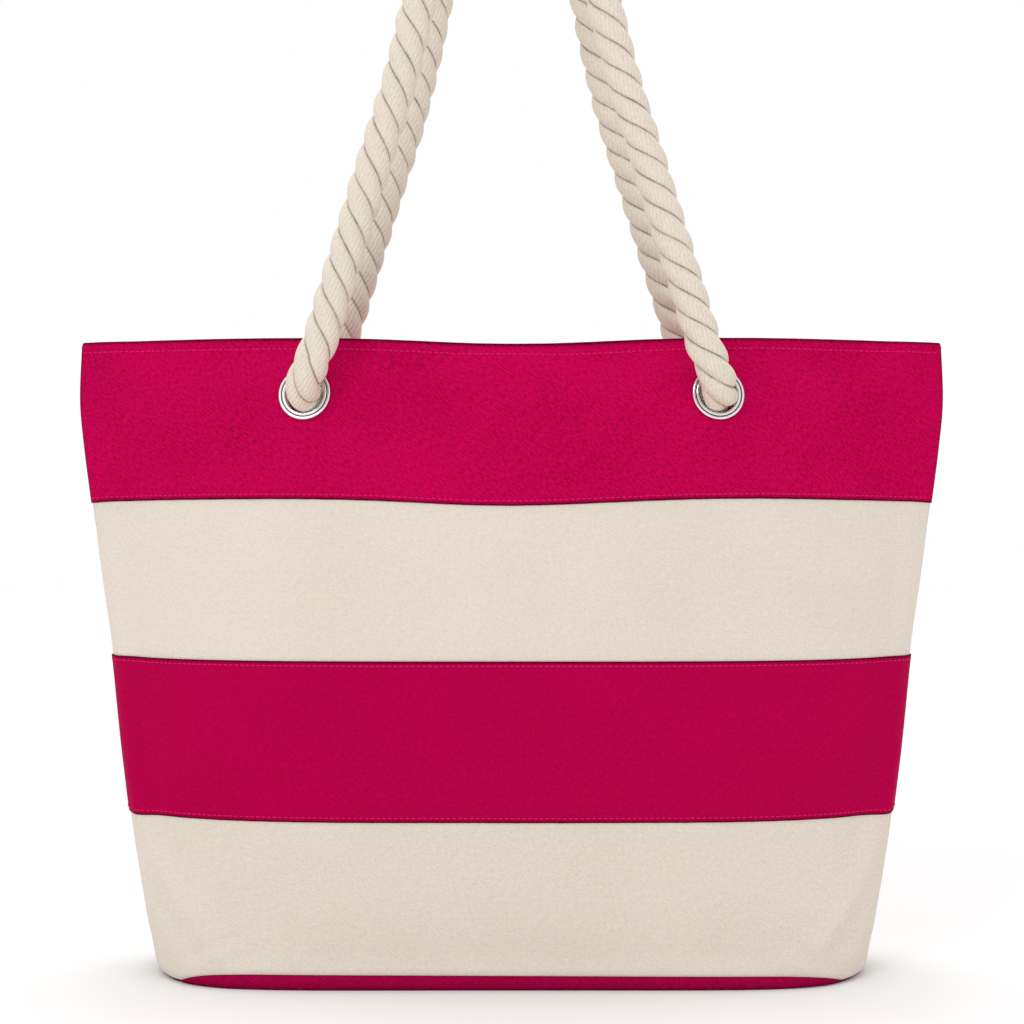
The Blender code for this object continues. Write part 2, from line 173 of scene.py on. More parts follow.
# Uncoated paper is matt, so it shows only a soft shadow.
paper, tree, shader = new_material("white_paper_sweep")
shader.inputs["Base Color"].default_value = linear("#F0F0F0")
shader.inputs["Roughness"].default_value = 0.9
floor.data.materials.append(paper)
floor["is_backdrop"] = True

# %% [markdown]
# ## Meshes from grids
# Almost every piece is a grid of points: rows along one parameter, columns along another.
# One function turns such a grid into a mesh. A tube closes across its columns, a sheet with
# a back closes across its rows, and the UV map is given in metres, so that a weave has
# the same thread spacing on every piece.


# %% Grid to mesh
def grid_object(
    name, points, uv, finish, closed_rows=False, closed_columns=False, poles=False, flip=False, shade=None
):
    """A mesh on a grid of points (rows, columns, 3); uv has one more row or column where the grid closes.
    poles closes a tube's two ends, each with a fan of triangles to the middle of its last ring.
    shade (rows, columns) goes from 0 to 1 where painted shade darkens a folded edge, seam or crease, or where
    an eyelet's groove is darker."""
    rows, columns = points.shape[:2]
    i, j = np.meshgrid(
        np.arange(rows if closed_rows else rows - 1),
        np.arange(columns if closed_columns else columns - 1),
        indexing="ij",
    )
    corners = [(i, j), (i, j + 1), (i + 1, j + 1), (i + 1, j)]
    if flip:
        corners = corners[::-1]
    faces = np.stack([(a % rows) * columns + b % columns for a, b in corners], axis=-1).reshape(-1, 4)
    places = np.stack([uv[a, b] for a, b in corners], axis=-2).reshape(-1, 2)
    vertices = points.reshape(-1, 3)
    loops, starts = faces.reshape(-1), np.arange(len(faces)) * 4
    if poles:
        ring = np.arange(columns)
        first, last = len(vertices), len(vertices) + 1
        vertices = np.concatenate([vertices, [points[0].mean(0), points[-1].mean(0)]])
        after = (ring + 1) % columns
        low = np.stack([after, ring, np.full(columns, first)], axis=-1)
        high = np.stack([ring, after, np.full(columns, last)], axis=-1)
        high[:, :2] += (rows - 1) * columns
        ends = np.concatenate([low, high])
        if flip:
            ends = ends[:, ::-1]
        starts = np.concatenate([starts, len(loops) + np.arange(len(ends)) * 3])
        loops = np.concatenate([loops, ends.reshape(-1)])
        places = np.concatenate([places, np.zeros((ends.size, 2))])
    mesh = bpy.data.meshes.new(name)
    mesh.vertices.add(len(vertices))
    mesh.vertices.foreach_set("co", vertices.astype(np.float32).ravel())
    mesh.loops.add(len(loops))
    mesh.loops.foreach_set("vertex_index", loops.astype(np.int32))
    mesh.polygons.add(len(starts))
    mesh.polygons.foreach_set("loop_start", starts.astype(np.int32))
    mesh.update(calc_edges=True)
    mesh.shade_smooth()
    layer = mesh.uv_layers.new(name="cloth")
    layer.data.foreach_set("uv", places.astype(np.float32).ravel())
    crease = mesh.attributes.new("shade", "FLOAT", "POINT")
    dark = np.zeros(len(vertices), np.float32)
    dark[: rows * columns] = 0.0 if shade is None else np.broadcast_to(shade, (rows, columns)).ravel()
    crease.data.foreach_set("value", dark)
    mesh.materials.append(finish)
    obj = bpy.data.objects.new(name, mesh)
    bpy.context.scene.collection.objects.link(obj)
    return obj


# %% [markdown]
# ## The form of the bag
# A filled bag of cloth can change its section but hardly its girth. At the base the section
# is a rounded rectangle; at the mouth the two panels meet at sharp side seams, like a lens.
# Both are one curve: depth times (1 - |x / width| ^ squareness) ^ fullness. A few stations
# give width, depth and the two exponents, and smooth curves join them up the height.

# %% Stations and smooth curves
STATIONS_MM = np.array(
    [
        (0, 203.5, 67.5, 8.0, 0.50),
        (60, 215.5, 67.0, 4.5, 0.50),
        (120, 224.0, 68.0, 4.0, 0.52),
        (190, 232.0, 67.0, 2.9, 0.61),
        (240, 239.5, 64.5, 2.5, 0.78),
        (270, 243.5, 61.0, 2.2, 0.95),
        (300, 247.5, 55.5, 2.0, 1.00),
        (325, 250.0, 49.0, 2.0, 1.00),
        (361, 249.0, 39.0, 2.0, 1.00),
    ]
)
BASE_EDGE_HEIGHT = 8 * MM
BASE_EDGE_SIDE = 5 * MM
BASE_EDGE_FRONT = 2 * MM
MOUTH, TOP_SEAM, MIDDLE_SEAM, LOWER_SEAM = 361 * MM, 271 * MM, 180 * MM, 92 * MM
BASE_SEAM, BASE_SEAM_CORNER, SEAM_SLOPE = 7.8 * MM, 0.2 * MM, 0.9 * MM
MOUTH_SAG, SAG_HALF_WIDTH, CORNER_DROP = 4.2 * MM, 75 * MM, 3 * MM
FACING_BOTTOM = 299 * MM


def station(height):
    """Cubic Hermite curves through the stations: width, depth, squareness and fullness at a height."""
    heights = STATIONS_MM[:, 0] * MM
    slopes = np.gradient(STATIONS_MM, heights, axis=0)
    height = np.clip(height, heights[0], heights[-1])
    low = np.clip(np.searchsorted(heights, height, side="right") - 1, 0, len(heights) - 2)
    span = heights[low + 1] - heights[low]
    t = ((height - heights[low]) / span)[..., None]
    rise = t * t * (3 - 2 * t)
    found = STATIONS_MM[low] * (1 - rise) + STATIONS_MM[low + 1] * rise
    bend = t * (1 - t) ** 2 * slopes[low] - t * t * (1 - t) * slopes[low + 1]
    found = found + span[..., None] * bend
    return found[..., 1] * MM, found[..., 2] * MM, found[..., 3], found[..., 4]


def form(across, height, side):
    """The section curve at a height, with the mouth sagging in the middle and the base edge rounded."""
    across, height = np.broadcast_arrays(np.asarray(across, float), np.asarray(height, float))
    width, depth, squareness, fullness = station(height)
    turn = 1 - np.clip(height / BASE_EDGE_HEIGHT, 0, 1)
    tuck = 1 - np.sqrt(1 - turn**2)
    width = width - BASE_EDGE_SIDE * tuck
    depth = depth - BASE_EDGE_FRONT * tuck
    share = np.sin(across * math.pi / 2)
    x = width * share
    y = side * depth * np.clip(1 - np.abs(share) ** squareness, 0, None) ** fullness
    sag = MOUTH_SAG * np.interp(height, (MIDDLE_SEAM, TOP_SEAM), (0, 1))
    drop = CORNER_DROP * np.interp(height, (MIDDLE_SEAM, TOP_SEAM, MOUTH), (0, 1, 0.35))
    z = height - sag * np.exp(-((x / SAG_HALF_WIDTH) ** 2)) - drop * np.abs(share) ** 6
    return np.stack([x, y, z], axis=-1)


def outward(across, height, side):
    """Unit normals: the cross product of the steps along and up the form, turned to the side at its seams."""
    step = 5e-4
    inner = np.clip(across, -1 + step, 1 - step)
    along = form(inner + step, height, side) - form(inner - step, height, side)
    up = form(inner, height + step, side) - form(inner, height - step, side)
    normal = np.cross(along, up) * -side
    normal /= np.linalg.norm(normal, axis=-1, keepdims=True)
    point = form(across, height, side)
    reach = station(np.asarray(height, float))[0]
    edge = np.hypot(reach - np.abs(point[..., 0]), point[..., 1])
    lean = np.exp(-((edge / (2.4 * MM)) ** 2))[..., None]
    sideways = np.sign(across)[..., None] * np.array([1.0, 0, 0])
    normal = normal * (1 - lean) + sideways * lean
    return normal / np.linalg.norm(normal, axis=-1, keepdims=True), edge


# %% [markdown]
# ## How the cloth hangs
# Stiff canvas stands up, but it isn't a board. The panels are held where they are sewn, at the
# base and along the side seams, and round the eyelets and the snap.
# A small cloth simulation of a coarse, empty shell lets them sink between those places.
# With nothing inside it, the shell sinks much further than stiff canvas would, so the movement
# is capped. Most of the shell reaches the cap, so what this step gives is mainly an even
# draw-in of the panels, which fades out at the places that hold them. It isn't truly settled
# cloth: a filling that presses outwards might give that. The visible waves come in the next step.
# Only movement in and out is kept, so the seams and stripes stay where they were sewn.

# %% Drape a coarse shell
EYELET_X, EYELET_HEIGHT, SNAP_HEIGHT = 116 * MM, 329 * MM, 338 * MM
DRAPE_ROWS, DRAPE_COLUMNS, DRAPE_FRAMES = 44, 72, 40
SPARE_CLOTH = 0.006  # how much longer the cloth is than the form, as a share of it
# How far from a side seam, from the floor and from the middle of an eyelet or the snap the cloth is held.
HELD_SEAM, HELD_BASE, HELD_RING = 9 * MM, 13 * MM, 17 * MM
SEAM_FADE, DRAPE_CAP = 26 * MM, 3.5 * MM


def drape():
    """Movement along the normal, in metres, on an even grid: side (front, back), height, across. It
    fades to nothing at the side seams by 1 - exp(-(distance / fade) squared), then is capped."""
    across = np.linspace(-1, 1, DRAPE_COLUMNS)[None, :]
    height = np.linspace(0, MOUTH, DRAPE_ROWS)[:, None]
    sides = np.stack([form(across, height, side) for side in (-1, 1)])
    normals = np.stack([outward(across, height + 0 * across, side)[0] for side in (-1, 1)])
    edges = np.stack([outward(across, height + 0 * across, side)[1] for side in (-1, 1)])
    gap = np.hypot(np.abs(sides[..., 0]) - EYELET_X, height - EYELET_HEIGHT)
    snap_gap = np.hypot(sides[..., 0], height - SNAP_HEIGHT)
    held = (edges < HELD_SEAM) | (gap < HELD_RING) | (snap_gap < HELD_RING) | (height < HELD_BASE)
    cell = np.arange(DRAPE_ROWS * DRAPE_COLUMNS).reshape(DRAPE_ROWS, DRAPE_COLUMNS)
    quads = np.stack([cell[:-1, :-1], cell[:-1, 1:], cell[1:, 1:], cell[1:, :-1]], axis=-1).reshape(-1, 4)
    mesh = bpy.data.meshes.new("drape")
    mesh.from_pydata(sides.reshape(-1, 3).tolist(), [], np.concatenate([quads, quads + cell.size]).tolist())
    shell = bpy.data.objects.new("drape", mesh)
    bpy.context.scene.collection.objects.link(shell)
    pins = shell.vertex_groups.new(name="sewn")
    pins.add(np.flatnonzero(held.ravel()).tolist(), 1.0, "REPLACE")
    settings = shell.modifiers.new("cloth", "CLOTH").settings
    settings.quality = 6
    settings.mass = 0.25
    settings.tension_stiffness = 40
    settings.compression_stiffness = 40
    settings.shear_stiffness = 12
    settings.bending_stiffness = 6
    settings.air_damping = 6
    settings.vertex_group_mass = "sewn"
    settings.shrink_min = -SPARE_CLOTH
    shell.modifiers["cloth"].point_cache.frame_end = DRAPE_FRAMES
    for number in range(1, DRAPE_FRAMES + 1):
        bpy.context.scene.frame_set(number)
    sunk = shell.evaluated_get(bpy.context.evaluated_depsgraph_get()).to_mesh()
    points = np.empty(len(mesh.vertices) * 3, np.float32)
    sunk.vertices.foreach_get("co", points)
    bpy.data.objects.remove(shell, do_unlink=True)
    bpy.context.scene.frame_set(1)
    moved = ((points.reshape(sides.shape) - sides) * normals).sum(-1)
    moved = moved * (1 - np.exp(-((edges / SEAM_FADE) ** 2)))
    print("cloth moved in and out, mm:", round(moved.min() / MM, 2), round(moved.max() / MM, 2))
    print("share of it at the cap:", round(float((np.abs(moved) > DRAPE_CAP).mean()), 3))
    return np.clip(moved, -DRAPE_CAP, DRAPE_CAP)


DRAPE = drape()


def hung(across, height, side):
    """The drape at a point: a cubic B-spline over the grid, whose four weights a way are smooth bumps."""
    row = np.clip(height / MOUTH, 0, 1) * (DRAPE_ROWS - 1)
    column = (np.clip(across, -1, 1) + 1) / 2 * (DRAPE_COLUMNS - 1)
    row, column = np.broadcast_arrays(row, column)
    i, j = np.floor(row).astype(int), np.floor(column).astype(int)
    weights = []
    for t in (row - i, column - j):
        before, here = (1 - t) ** 3 / 6, (3 * t**3 - 6 * t**2 + 4) / 6
        after, beyond = (1 + 3 * t + 3 * t**2 - 3 * t**3) / 6, t**3 / 6
        weights.append((before, here, after, beyond))
    total = np.zeros_like(row)
    for a in range(4):
        for b in range(4):
            rows = np.clip(i + a - 1, 0, DRAPE_ROWS - 1)
            columns = np.clip(j + b - 1, 0, DRAPE_COLUMNS - 1)
            total += weights[0][a] * weights[1][b] * DRAPE[(side + 1) // 2, rows, columns]
    return total


# %% [markdown]
# ## Waves, puckers and creases
# On the drawn-in form come the shapes that the eye reads as cloth: shallow rolls from how the bag
# was folded in its box, the pucker that the thread draws along each seam, the dimple round each
# eyelet and a few slanting creases above the base corners, where the cloth turns under.
# Each is a sine or a product of sines, and a bell curve keeps it to its own place.


# %% Relief
def relief(point, height, side, edge):
    """Sum of broad waves, a pucker along each seam, corner creases and a dimple round each eyelet.
    The lengths in the formulas are millimetres, and the sum is turned to metres at the end."""
    x = point[..., 0] / MM + 37 * side
    z = height / MM
    rise = np.clip(z / 360, 0, 1)
    calm = 1 - np.exp(-((edge / (30 * MM)) ** 2))
    waves = 1.2 * np.sin(x / 37 + 0.9 * np.sin(z / 61 + side) + 0.5 * side) * rise**2
    waves += 0.7 * np.sin(x / 58 - z / 47 + 2.1 * side) * np.sin(z / 71 + 0.6) * (0.4 + 0.6 * rise)
    waves += 0.4 * np.sin(x / 21 + z / 33 + 1.3 * np.sin(z / 29 - x / 77)) * (0.3 + 0.7 * rise)
    seams = np.zeros_like(x)
    for number, seam in enumerate((MOUTH, TOP_SEAM, MIDDLE_SEAM, LOWER_SEAM)):
        near = np.exp(-(((height - seam) / (8 * MM)) ** 2))
        seams += 0.17 * np.sin(x / 2.6 + 1.9 * np.sin(x / 11 + number) + number) * near
    far = np.abs(point[..., 0]) / MM
    corner = np.exp(-(((far - 165) / 26) ** 2) - ((z - 22) / 17) ** 2)
    seams += 0.55 * corner * np.sin((far + 1.5 * z) / 5.5 + 2 * np.sin(z / 13 + side + np.sign(x)))
    gap = np.hypot(np.abs(point[..., 0]) - EYELET_X, height - EYELET_HEIGHT)
    dimple = -0.7 * np.exp(-((gap / (24 * MM)) ** 2))
    calm = calm * (1 - np.exp(-((gap / (20 * MM)) ** 2)))
    snap_gap = np.hypot(point[..., 0], height - SNAP_HEIGHT)
    calm = calm * (1 - np.exp(-((snap_gap / (20 * MM)) ** 2)))
    return (waves * calm + seams * (1 - np.exp(-((edge / (6 * MM)) ** 2))) + dimple) * MM


def cloth(across, height, side, depth):
    """A point at a depth under the draped outer surface, with the groove of the side seam."""
    normal, edge = outward(across, height, side)
    point = form(across, height, side)
    groove = 0.8 * MM * np.exp(-((edge / (1.0 * MM)) ** 2))
    out = relief(point, height, side, edge) + hung(across, height, side) - depth - groove
    return point + normal * out[..., None], normal


def base_seam(across):
    """Height of the seam round the base: nearly level, a little lower on the right,
    and drawn under at the corners by a twelfth power of the share of the width."""
    share = np.sin(np.asarray(across) * math.pi / 2)
    level = BASE_SEAM - SEAM_SLOPE * share
    return level - (level - BASE_SEAM_CORNER) * np.clip(np.abs(share) / 0.92, 0, 1) ** 12


# %% [markdown]
# ## Canvas
# Beach totes are cut from cotton duck, a plain weave of thick threads: each thread goes over
# one and under the next, in both directions. Two sines give the round threads, and their
# product says which one is on top. Slubs, the thick places in the yarn, are a stretched noise.
# Dyed cotton has a soft sheen at a grazing angle from its loose fibre ends.

# %% Woven cotton
DUCK_THREAD = 1.25  # millimetres between threads; the real 0.8 is too fine to show, so it is coarser here
LINING_THREAD = 0.8
MATH = "ShaderNodeMath"
MULTIPLY, MULTIPLY_ADD = {"operation": "MULTIPLY"}, {"operation": "MULTIPLY_ADD"}
CLAMPED = {"operation": "MULTIPLY_ADD", "use_clamp": True}


def darkened(tree, color, amount, tint):
    """A colour multiplied towards a tint by the piece's shade attribute: painted shade on folded edges, seams
    and rope creases, and a darker line in an eyelet's groove.
    """
    shade = add(tree, "ShaderNodeAttribute", {"attribute_name": "shade"}).outputs["Fac"]
    part = add(tree, MATH, MULTIPLY, _0=shade, _1=amount).outputs[0]
    settings = {"data_type": "RGBA", "blend_type": "MULTIPLY"}
    return add(tree, "ShaderNodeMix", settings, _0=part, _6=color, _7=linear(tint)).outputs[2]


def woven(name, color, shade, thread_mm, depth_mm, dash, sheen=0.0, mottle_and_wave_shade=0.35):
    """Plain-woven cotton: thread relief from sines of the UV map, painted shade where a thread dips under,
    slanting flecks where a thicker yarn comes up, and broad patches that are partly uneven dye and partly
    painted shade of the cloth's waves. dash is the strength of the flecks."""
    made, tree, shader = new_material(name)
    uv = add(tree, "ShaderNodeUVMap", {"uv_map": "cloth"}).outputs[0]
    axes = add(tree, "ShaderNodeSeparateXYZ", Vector=uv)
    turns = math.pi / (thread_mm * MM)
    # Slubs about 7 mm long and 1 mm wide bend the threads a little.
    slub_place = add(tree, "ShaderNodeMapping", Vector=uv, Scale=(140, 900, 1)).outputs[0]
    slub = add(tree, "ShaderNodeTexNoise", Vector=slub_place, Scale=1.0, Detail=2.0).outputs[0]
    bent = add(tree, MATH, MULTIPLY, _0=slub, _1=1.6).outputs[0]
    sines = []
    for axis in (0, 1):
        phase = add(tree, MATH, MULTIPLY_ADD, _0=axes.outputs[axis], _1=turns, _2=bent).outputs[0]
        sines.append(add(tree, MATH, {"operation": "SINE"}, _0=phase).outputs[0])
    product = add(tree, MATH, MULTIPLY, _0=sines[0], _1=sines[1]).outputs[0]
    over = add(tree, MATH, MULTIPLY_ADD, _0=product, _1=0.5, _2=0.5).outputs[0]
    tops = [add(tree, MATH, {"operation": "ABSOLUTE"}, _0=wave).outputs[0] for wave in sines]
    height = add(tree, "ShaderNodeMix", {"data_type": "FLOAT"}, _0=over, _2=tops[1], _3=tops[0]).outputs[0]
    # Flecks about 3 mm long and 1 mm wide, slanting at 40 degrees.
    turned_place = add(tree, "ShaderNodeMapping", Vector=uv, Rotation=(0, 0, math.radians(40))).outputs[0]
    fleck_place = add(tree, "ShaderNodeMapping", Vector=turned_place, Scale=(330, 1000, 1)).outputs[0]
    fleck = add(tree, "ShaderNodeTexNoise", Vector=fleck_place, Scale=1.0, Detail=2.0, Roughness=0.6)
    fleck = add(tree, "ShaderNodeMapRange", _0=fleck.outputs[0], _1=0.32, _2=0.68, _3=0.0, _4=1.0).outputs[0]
    # Patches about 60 mm across, partly uneven dye and partly painted shade of the cloth's broad waves. The
    # tone of all three together is centred on a half.
    broad = add(tree, "ShaderNodeTexNoise", Vector=uv, Scale=16.0, Detail=2.0).outputs[0]
    least = 0.5 - 0.175 - dash / 2 - mottle_and_wave_shade / 2
    # The colour is darker where a thread dips under the other: painted shade of the weave.
    tone = add(tree, MATH, MULTIPLY_ADD, _0=height, _1=0.35, _2=least).outputs[0]
    tone = add(tree, MATH, MULTIPLY_ADD, _0=fleck, _1=dash, _2=tone).outputs[0]
    tone = add(tree, MATH, CLAMPED, _0=broad, _1=mottle_and_wave_shade, _2=tone).outputs[0]
    dyed = add(tree, "ShaderNodeMix", {"data_type": "RGBA"}, _0=tone, _6=linear(shade), _7=linear(color))
    # The shade attribute paints shade along folded edges and seams, towards a dark grey.
    tree.links.new(darkened(tree, dyed.outputs[2], 0.8, "#403838"), shader.inputs["Base Color"])
    rise = add(tree, MATH, MULTIPLY_ADD, _0=fleck, _1=0.6, _2=height).outputs[0]
    bump = add(tree, "ShaderNodeBump", Height=rise, Strength=0.8, Distance=depth_mm * MM)
    tree.links.new(bump.outputs[0], shader.inputs["Normal"])
    shader.inputs["Roughness"].default_value = 0.9
    shader.inputs["IOR"].default_value = 1.53
    shader.inputs["Specular IOR Level"].default_value = 0.03
    shader.inputs["Sheen Weight"].default_value = sheen
    shader.inputs["Sheen Roughness"].default_value = 0.5
    return made


# The pink bands' patches are stronger, for more painted shade of their waves.
PINK = woven("crimson_pink_cotton_duck", "#D50356", "#A0013D", DUCK_THREAD, 0.28, 1.0, mottle_and_wave_shade=0.6)
MIDDLE_PINK = woven(
    "crimson_pink_cotton_duck_of_the_middle_band", "#C2024C", "#A4013E", DUCK_THREAD, 0.25, 0.7
)
CREAM = woven("natural_cotton_duck", "#EEE4D8", "#D8CCBE", DUCK_THREAD, 0.20, 0.5, sheen=0.05)
BASE_PINK = woven("dark_crimson_cotton_duck", "#B0044A", "#8C0334", DUCK_THREAD, 0.25, 0.8)
LINING = woven("natural_cotton_lining", "#EAE2D4", "#D6CCBA", LINING_THREAD, 0.10, 0.4, sheen=0.05)
print("canvas thread spacing, mm:", DUCK_THREAD)

# %% [markdown]
# ## Panels with two faces and turned edges
# A sewn panel has a front, a back and edges where the cloth is folded over. Taking a loop
# of (height, depth) pairs round its cut section and carrying it from side seam to side seam
# gives all of that in one closed grid. The columns crowd towards the side seams,
# where the cloth turns most.

# %% Panel maker
COLUMNS = 320


def across_values(count=COLUMNS, limit=1.0):
    """Columns from seam to seam, most crowded at the ends: a mix of an even and a sine spacing."""
    even = np.linspace(-1, 1, count)
    return limit * (0.3 * even + 0.7 * np.sin(even * math.pi / 2))


def section_loop(rows, back_rows, thick, curl=5):
    """(share of height, extra height, depth) round a panel: up its face, over, down its back and under."""
    half = thick / 2
    ease = 0.5 - 0.5 * np.cos(np.linspace(0, math.pi, rows))
    share = 0.45 * ease + 0.55 * np.linspace(0, 1, rows)
    angle = np.linspace(0, math.pi, curl + 2)[1:-1]
    back = np.linspace(1, 0, back_rows)
    zero, one = np.zeros(curl), np.ones(curl)
    shares = np.concatenate([share, one, back, zero])
    extra = np.concatenate([np.zeros(rows), half * np.sin(angle), np.zeros(back_rows), -half * np.sin(angle)])
    rounded = half * (1 - np.cos(angle))
    depth = np.concatenate([np.zeros(rows), rounded, np.full(back_rows, thick), rounded[::-1]])
    return shares[:, None], extra[:, None], depth[:, None]


def panel(
    name,
    low,
    high,
    side,
    face,
    thick,
    finish,
    rows=42,
    back_rows=14,
    limit=1.0,
    tuck=0.0,
    corner=0.0,
    edge_shade=0.0,
):
    """A panel of cloth between two heights, its face at a depth under the outer surface.
    tuck draws its lower edge in over the last few millimetres, as where a seam turns under;
    corner rounds its upper corners; edge_shade is the strength of the painted shade along its upper and lower
    edges and its side seams."""
    across = across_values(limit=limit)
    bottom = low(across) if callable(low) else np.full_like(across, low)
    reach = station(np.array(high))[0] * (1 - np.abs(np.sin(across * math.pi / 2)))
    top = high - corner * (1 - np.sqrt(1 - (1 - np.clip(reach / max(corner, 1e-9), 0, 1)) ** 2))
    share, extra, depth = section_loop(rows, back_rows, thick)
    across = across[None, :]
    height = bottom + (top - bottom) * share + extra
    pulled = tuck * np.exp(-(((height - bottom) / (1.6 * MM)) ** 2))
    points, _ = cloth(across, np.maximum(height, 0), side, face + depth + pulled)
    to_side = outward(across, np.maximum(height, 0), side)[1]
    girth = np.cumsum(np.linalg.norm(np.diff(points[rows // 2], axis=0), axis=1))
    u = -side * np.concatenate([[0], girth])[None, :] * np.ones_like(height)
    uv = np.stack([u, height * np.ones_like(u)], axis=-1)
    uv = np.concatenate([uv, uv[:1]])
    # Painted shade along the upper and lower edges and along the side seams.
    to_edge = np.minimum(height - bottom, top - height)
    shade = edge_shade * np.exp(-((np.maximum(to_edge, 0) / (0.9 * MM)) ** 2))
    shade = np.maximum(shade, edge_shade * np.exp(-((to_side / (1.3 * MM)) ** 2)))
    obj = grid_object(name, points, uv, finish, closed_rows=True, flip=side > 0, shade=shade)
    return capped(obj, len(share))


def capped(obj, rows):
    """Closes the two ends of a panel's section loop with one flat face each."""
    shape = bmesh.new()
    shape.from_mesh(obj.data)
    shape.verts.ensure_lookup_table()
    columns = len(shape.verts) // rows
    for column in (0, columns - 1):
        ring = [shape.verts[row * columns + column] for row in range(rows)]
        shape.faces.new(ring[::-1] if column == 0 else ring)
    bmesh.ops.recalc_face_normals(shape, faces=shape.faces)
    shape.to_mesh(obj.data)
    shape.free()
    return obj


# %% [markdown]
# ## The bands
# The cream bands lie at the outer surface, and the pink ones are lapped over them with a
# folded edge, so they stand one cloth's thickness proud, all the way round to the side seams.

# %% Eight bands
CANVAS_THICK = 0.9 * MM
LAP = 10 * MM
SIDES = (("front", -1), ("back", 1))
HANDS = (("left", -1), ("right", 1))
pieces = {}
for word, side in SIDES:
    plans = (
        ("top_band", TOP_SEAM, MOUTH, -CANVAS_THICK, PINK, "pink_canvas", 0),
        ("upper_cream_band", MIDDLE_SEAM - LAP, TOP_SEAM + LAP, 0, CREAM, "cream_canvas", 0),
        ("middle_band", LOWER_SEAM, MIDDLE_SEAM, -CANVAS_THICK, MIDDLE_PINK, "pink_canvas", 0),
        ("lower_cream_band", base_seam, LOWER_SEAM + LAP, 0, CREAM, "cream_canvas", 1.2 * MM),
    )
    for part, low, high, face, finish, slot, tuck in plans:
        node = f"{word}_{part}"
        # Painted shade at the band's edges: full on the pink bands, weaker on the cream ones.
        band_edge_shade = 1.0 if face < 0 else 0.35
        corner = 2.2 * MM if high == MOUTH else 0
        thick = CANVAS_THICK * 0.94
        obj = panel(
            f"{node}_cloth", low, high, side, face, thick, finish, tuck=tuck, corner=corner, edge_shade=band_edge_shade
        )
        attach(obj, "bag")
        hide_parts(node)
        lowest = 0 if callable(low) else low
        pieces[node] = obj
print("bands:", len(pieces), "faces each:", len(pieces["front_top_band"].data.polygons))

# %% [markdown]
# ## Facing, lining and pocket
# Inside, a strip of the pink canvas backs the mouth, the thin lining hangs from it,
# and a patch pocket is sewn to the front lining. They follow the same form, deeper in.

# %% Inner cloth
FACING_TOP, LINING_BOTTOM, LINING_TOP = MOUTH - 1.0 * MM, 7 * MM, FACING_BOTTOM + 6 * MM
for word, side in SIDES:
    facing = panel(
        f"{word}_facing_cloth", FACING_BOTTOM, FACING_TOP, side, 2.3 * MM, 0.9 * MM, PINK, 24, 24
    )
    lining = panel(
        f"{word}_lining_cloth", LINING_BOTTOM, LINING_TOP, side, 1.4 * MM, 0.6 * MM, LINING, 30, 60
    )
    for obj, node, slot in ((facing, "facing", "pink_canvas"), (lining, "lining", "lining_cotton")):
        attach(obj, "bag")
        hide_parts(f"{word}_{node}")

# The pocket is 160 mm wide, where the form is 449 mm wide.
POCKET_LIMIT = 2 / math.pi * math.asin(80 / 224.5)
pocket = panel(
    "slip_pocket_cloth", 120 * MM, 235 * MM, -1, 2.4 * MM, 1.0 * MM, LINING, 24, 30, limit=POCKET_LIMIT
)
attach(pocket, "bag")
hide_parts("slip_pocket")

# %% [markdown]
# ## Base
# The base panel is a tray: flat where the bag stands, and turned up round its edge to meet
# the lowest bands in a seam. From the front only this turned-up edge shows, as a thin line.

# %% Base panel and base lining
BASE_COLUMNS = 200
BASE_INSET = 0.8 * MM


def loop_of(height_front, height_back, depth, scale=1.0):
    """A ring of points right round the form at a depth under its surface, scaled in plan."""
    across = across_values(BASE_COLUMNS)
    front, _ = cloth(across, height_front, -1, depth)
    back, _ = cloth(across[::-1], height_back, 1, depth)
    ring = np.concatenate([front[:-1], back[:-1]])
    return ring * np.array([scale, scale, 1])


across = across_values(BASE_COLUMNS)
seam_front, seam_back = base_seam(across), base_seam(across[::-1])
rings = []
for share in (0.1, 0.35, 0.6, 0.8, 0.92, 0.985):
    ring = loop_of(np.zeros_like(across), np.zeros_like(across), 0, share)
    ring[:, 2] = 0.0
    rings.append(ring)
for share in np.linspace(0, 1, 9):
    rings.append(loop_of(seam_front * share, seam_back * share, BASE_INSET * share))
SEAM_RING = len(rings)
rings.append(loop_of(seam_front + 0.3 * MM, seam_back + 0.3 * MM, 1.1 * MM))
rings.append(loop_of(seam_front + 0.2 * MM, seam_back + 0.2 * MM, 1.4 * MM))
# The inner face of the tray: down the inside of the edge, then flat to the middle.
inner = loop_of(seam_front * 0.4 + 1 * MM, seam_back * 0.4 + 1 * MM, 1.4 * MM)
rings.append(inner)
for share in (0.9, 0.5, 0.1):
    flat_ring = inner * np.array([share, share, 1])
    flat_ring[:, 2] = 1.2 * MM
    rings.append(flat_ring)
base_points = np.array(rings)
base_points[..., 2] = np.maximum(base_points[..., 2], 0)
# The UV map lays the tray out flat: outwards from the middle by the length of cloth passed so far.
middle_row = np.zeros((1, *base_points.shape[1:]))
steps = np.linalg.norm(np.diff(base_points, axis=0, prepend=middle_row), axis=-1)
plan = base_points[..., :2] / np.linalg.norm(base_points[..., :2], axis=-1, keepdims=True)
uv = plan * np.cumsum(steps, axis=0)[..., None]
uv = np.concatenate([uv, uv[:, :1]], axis=1)
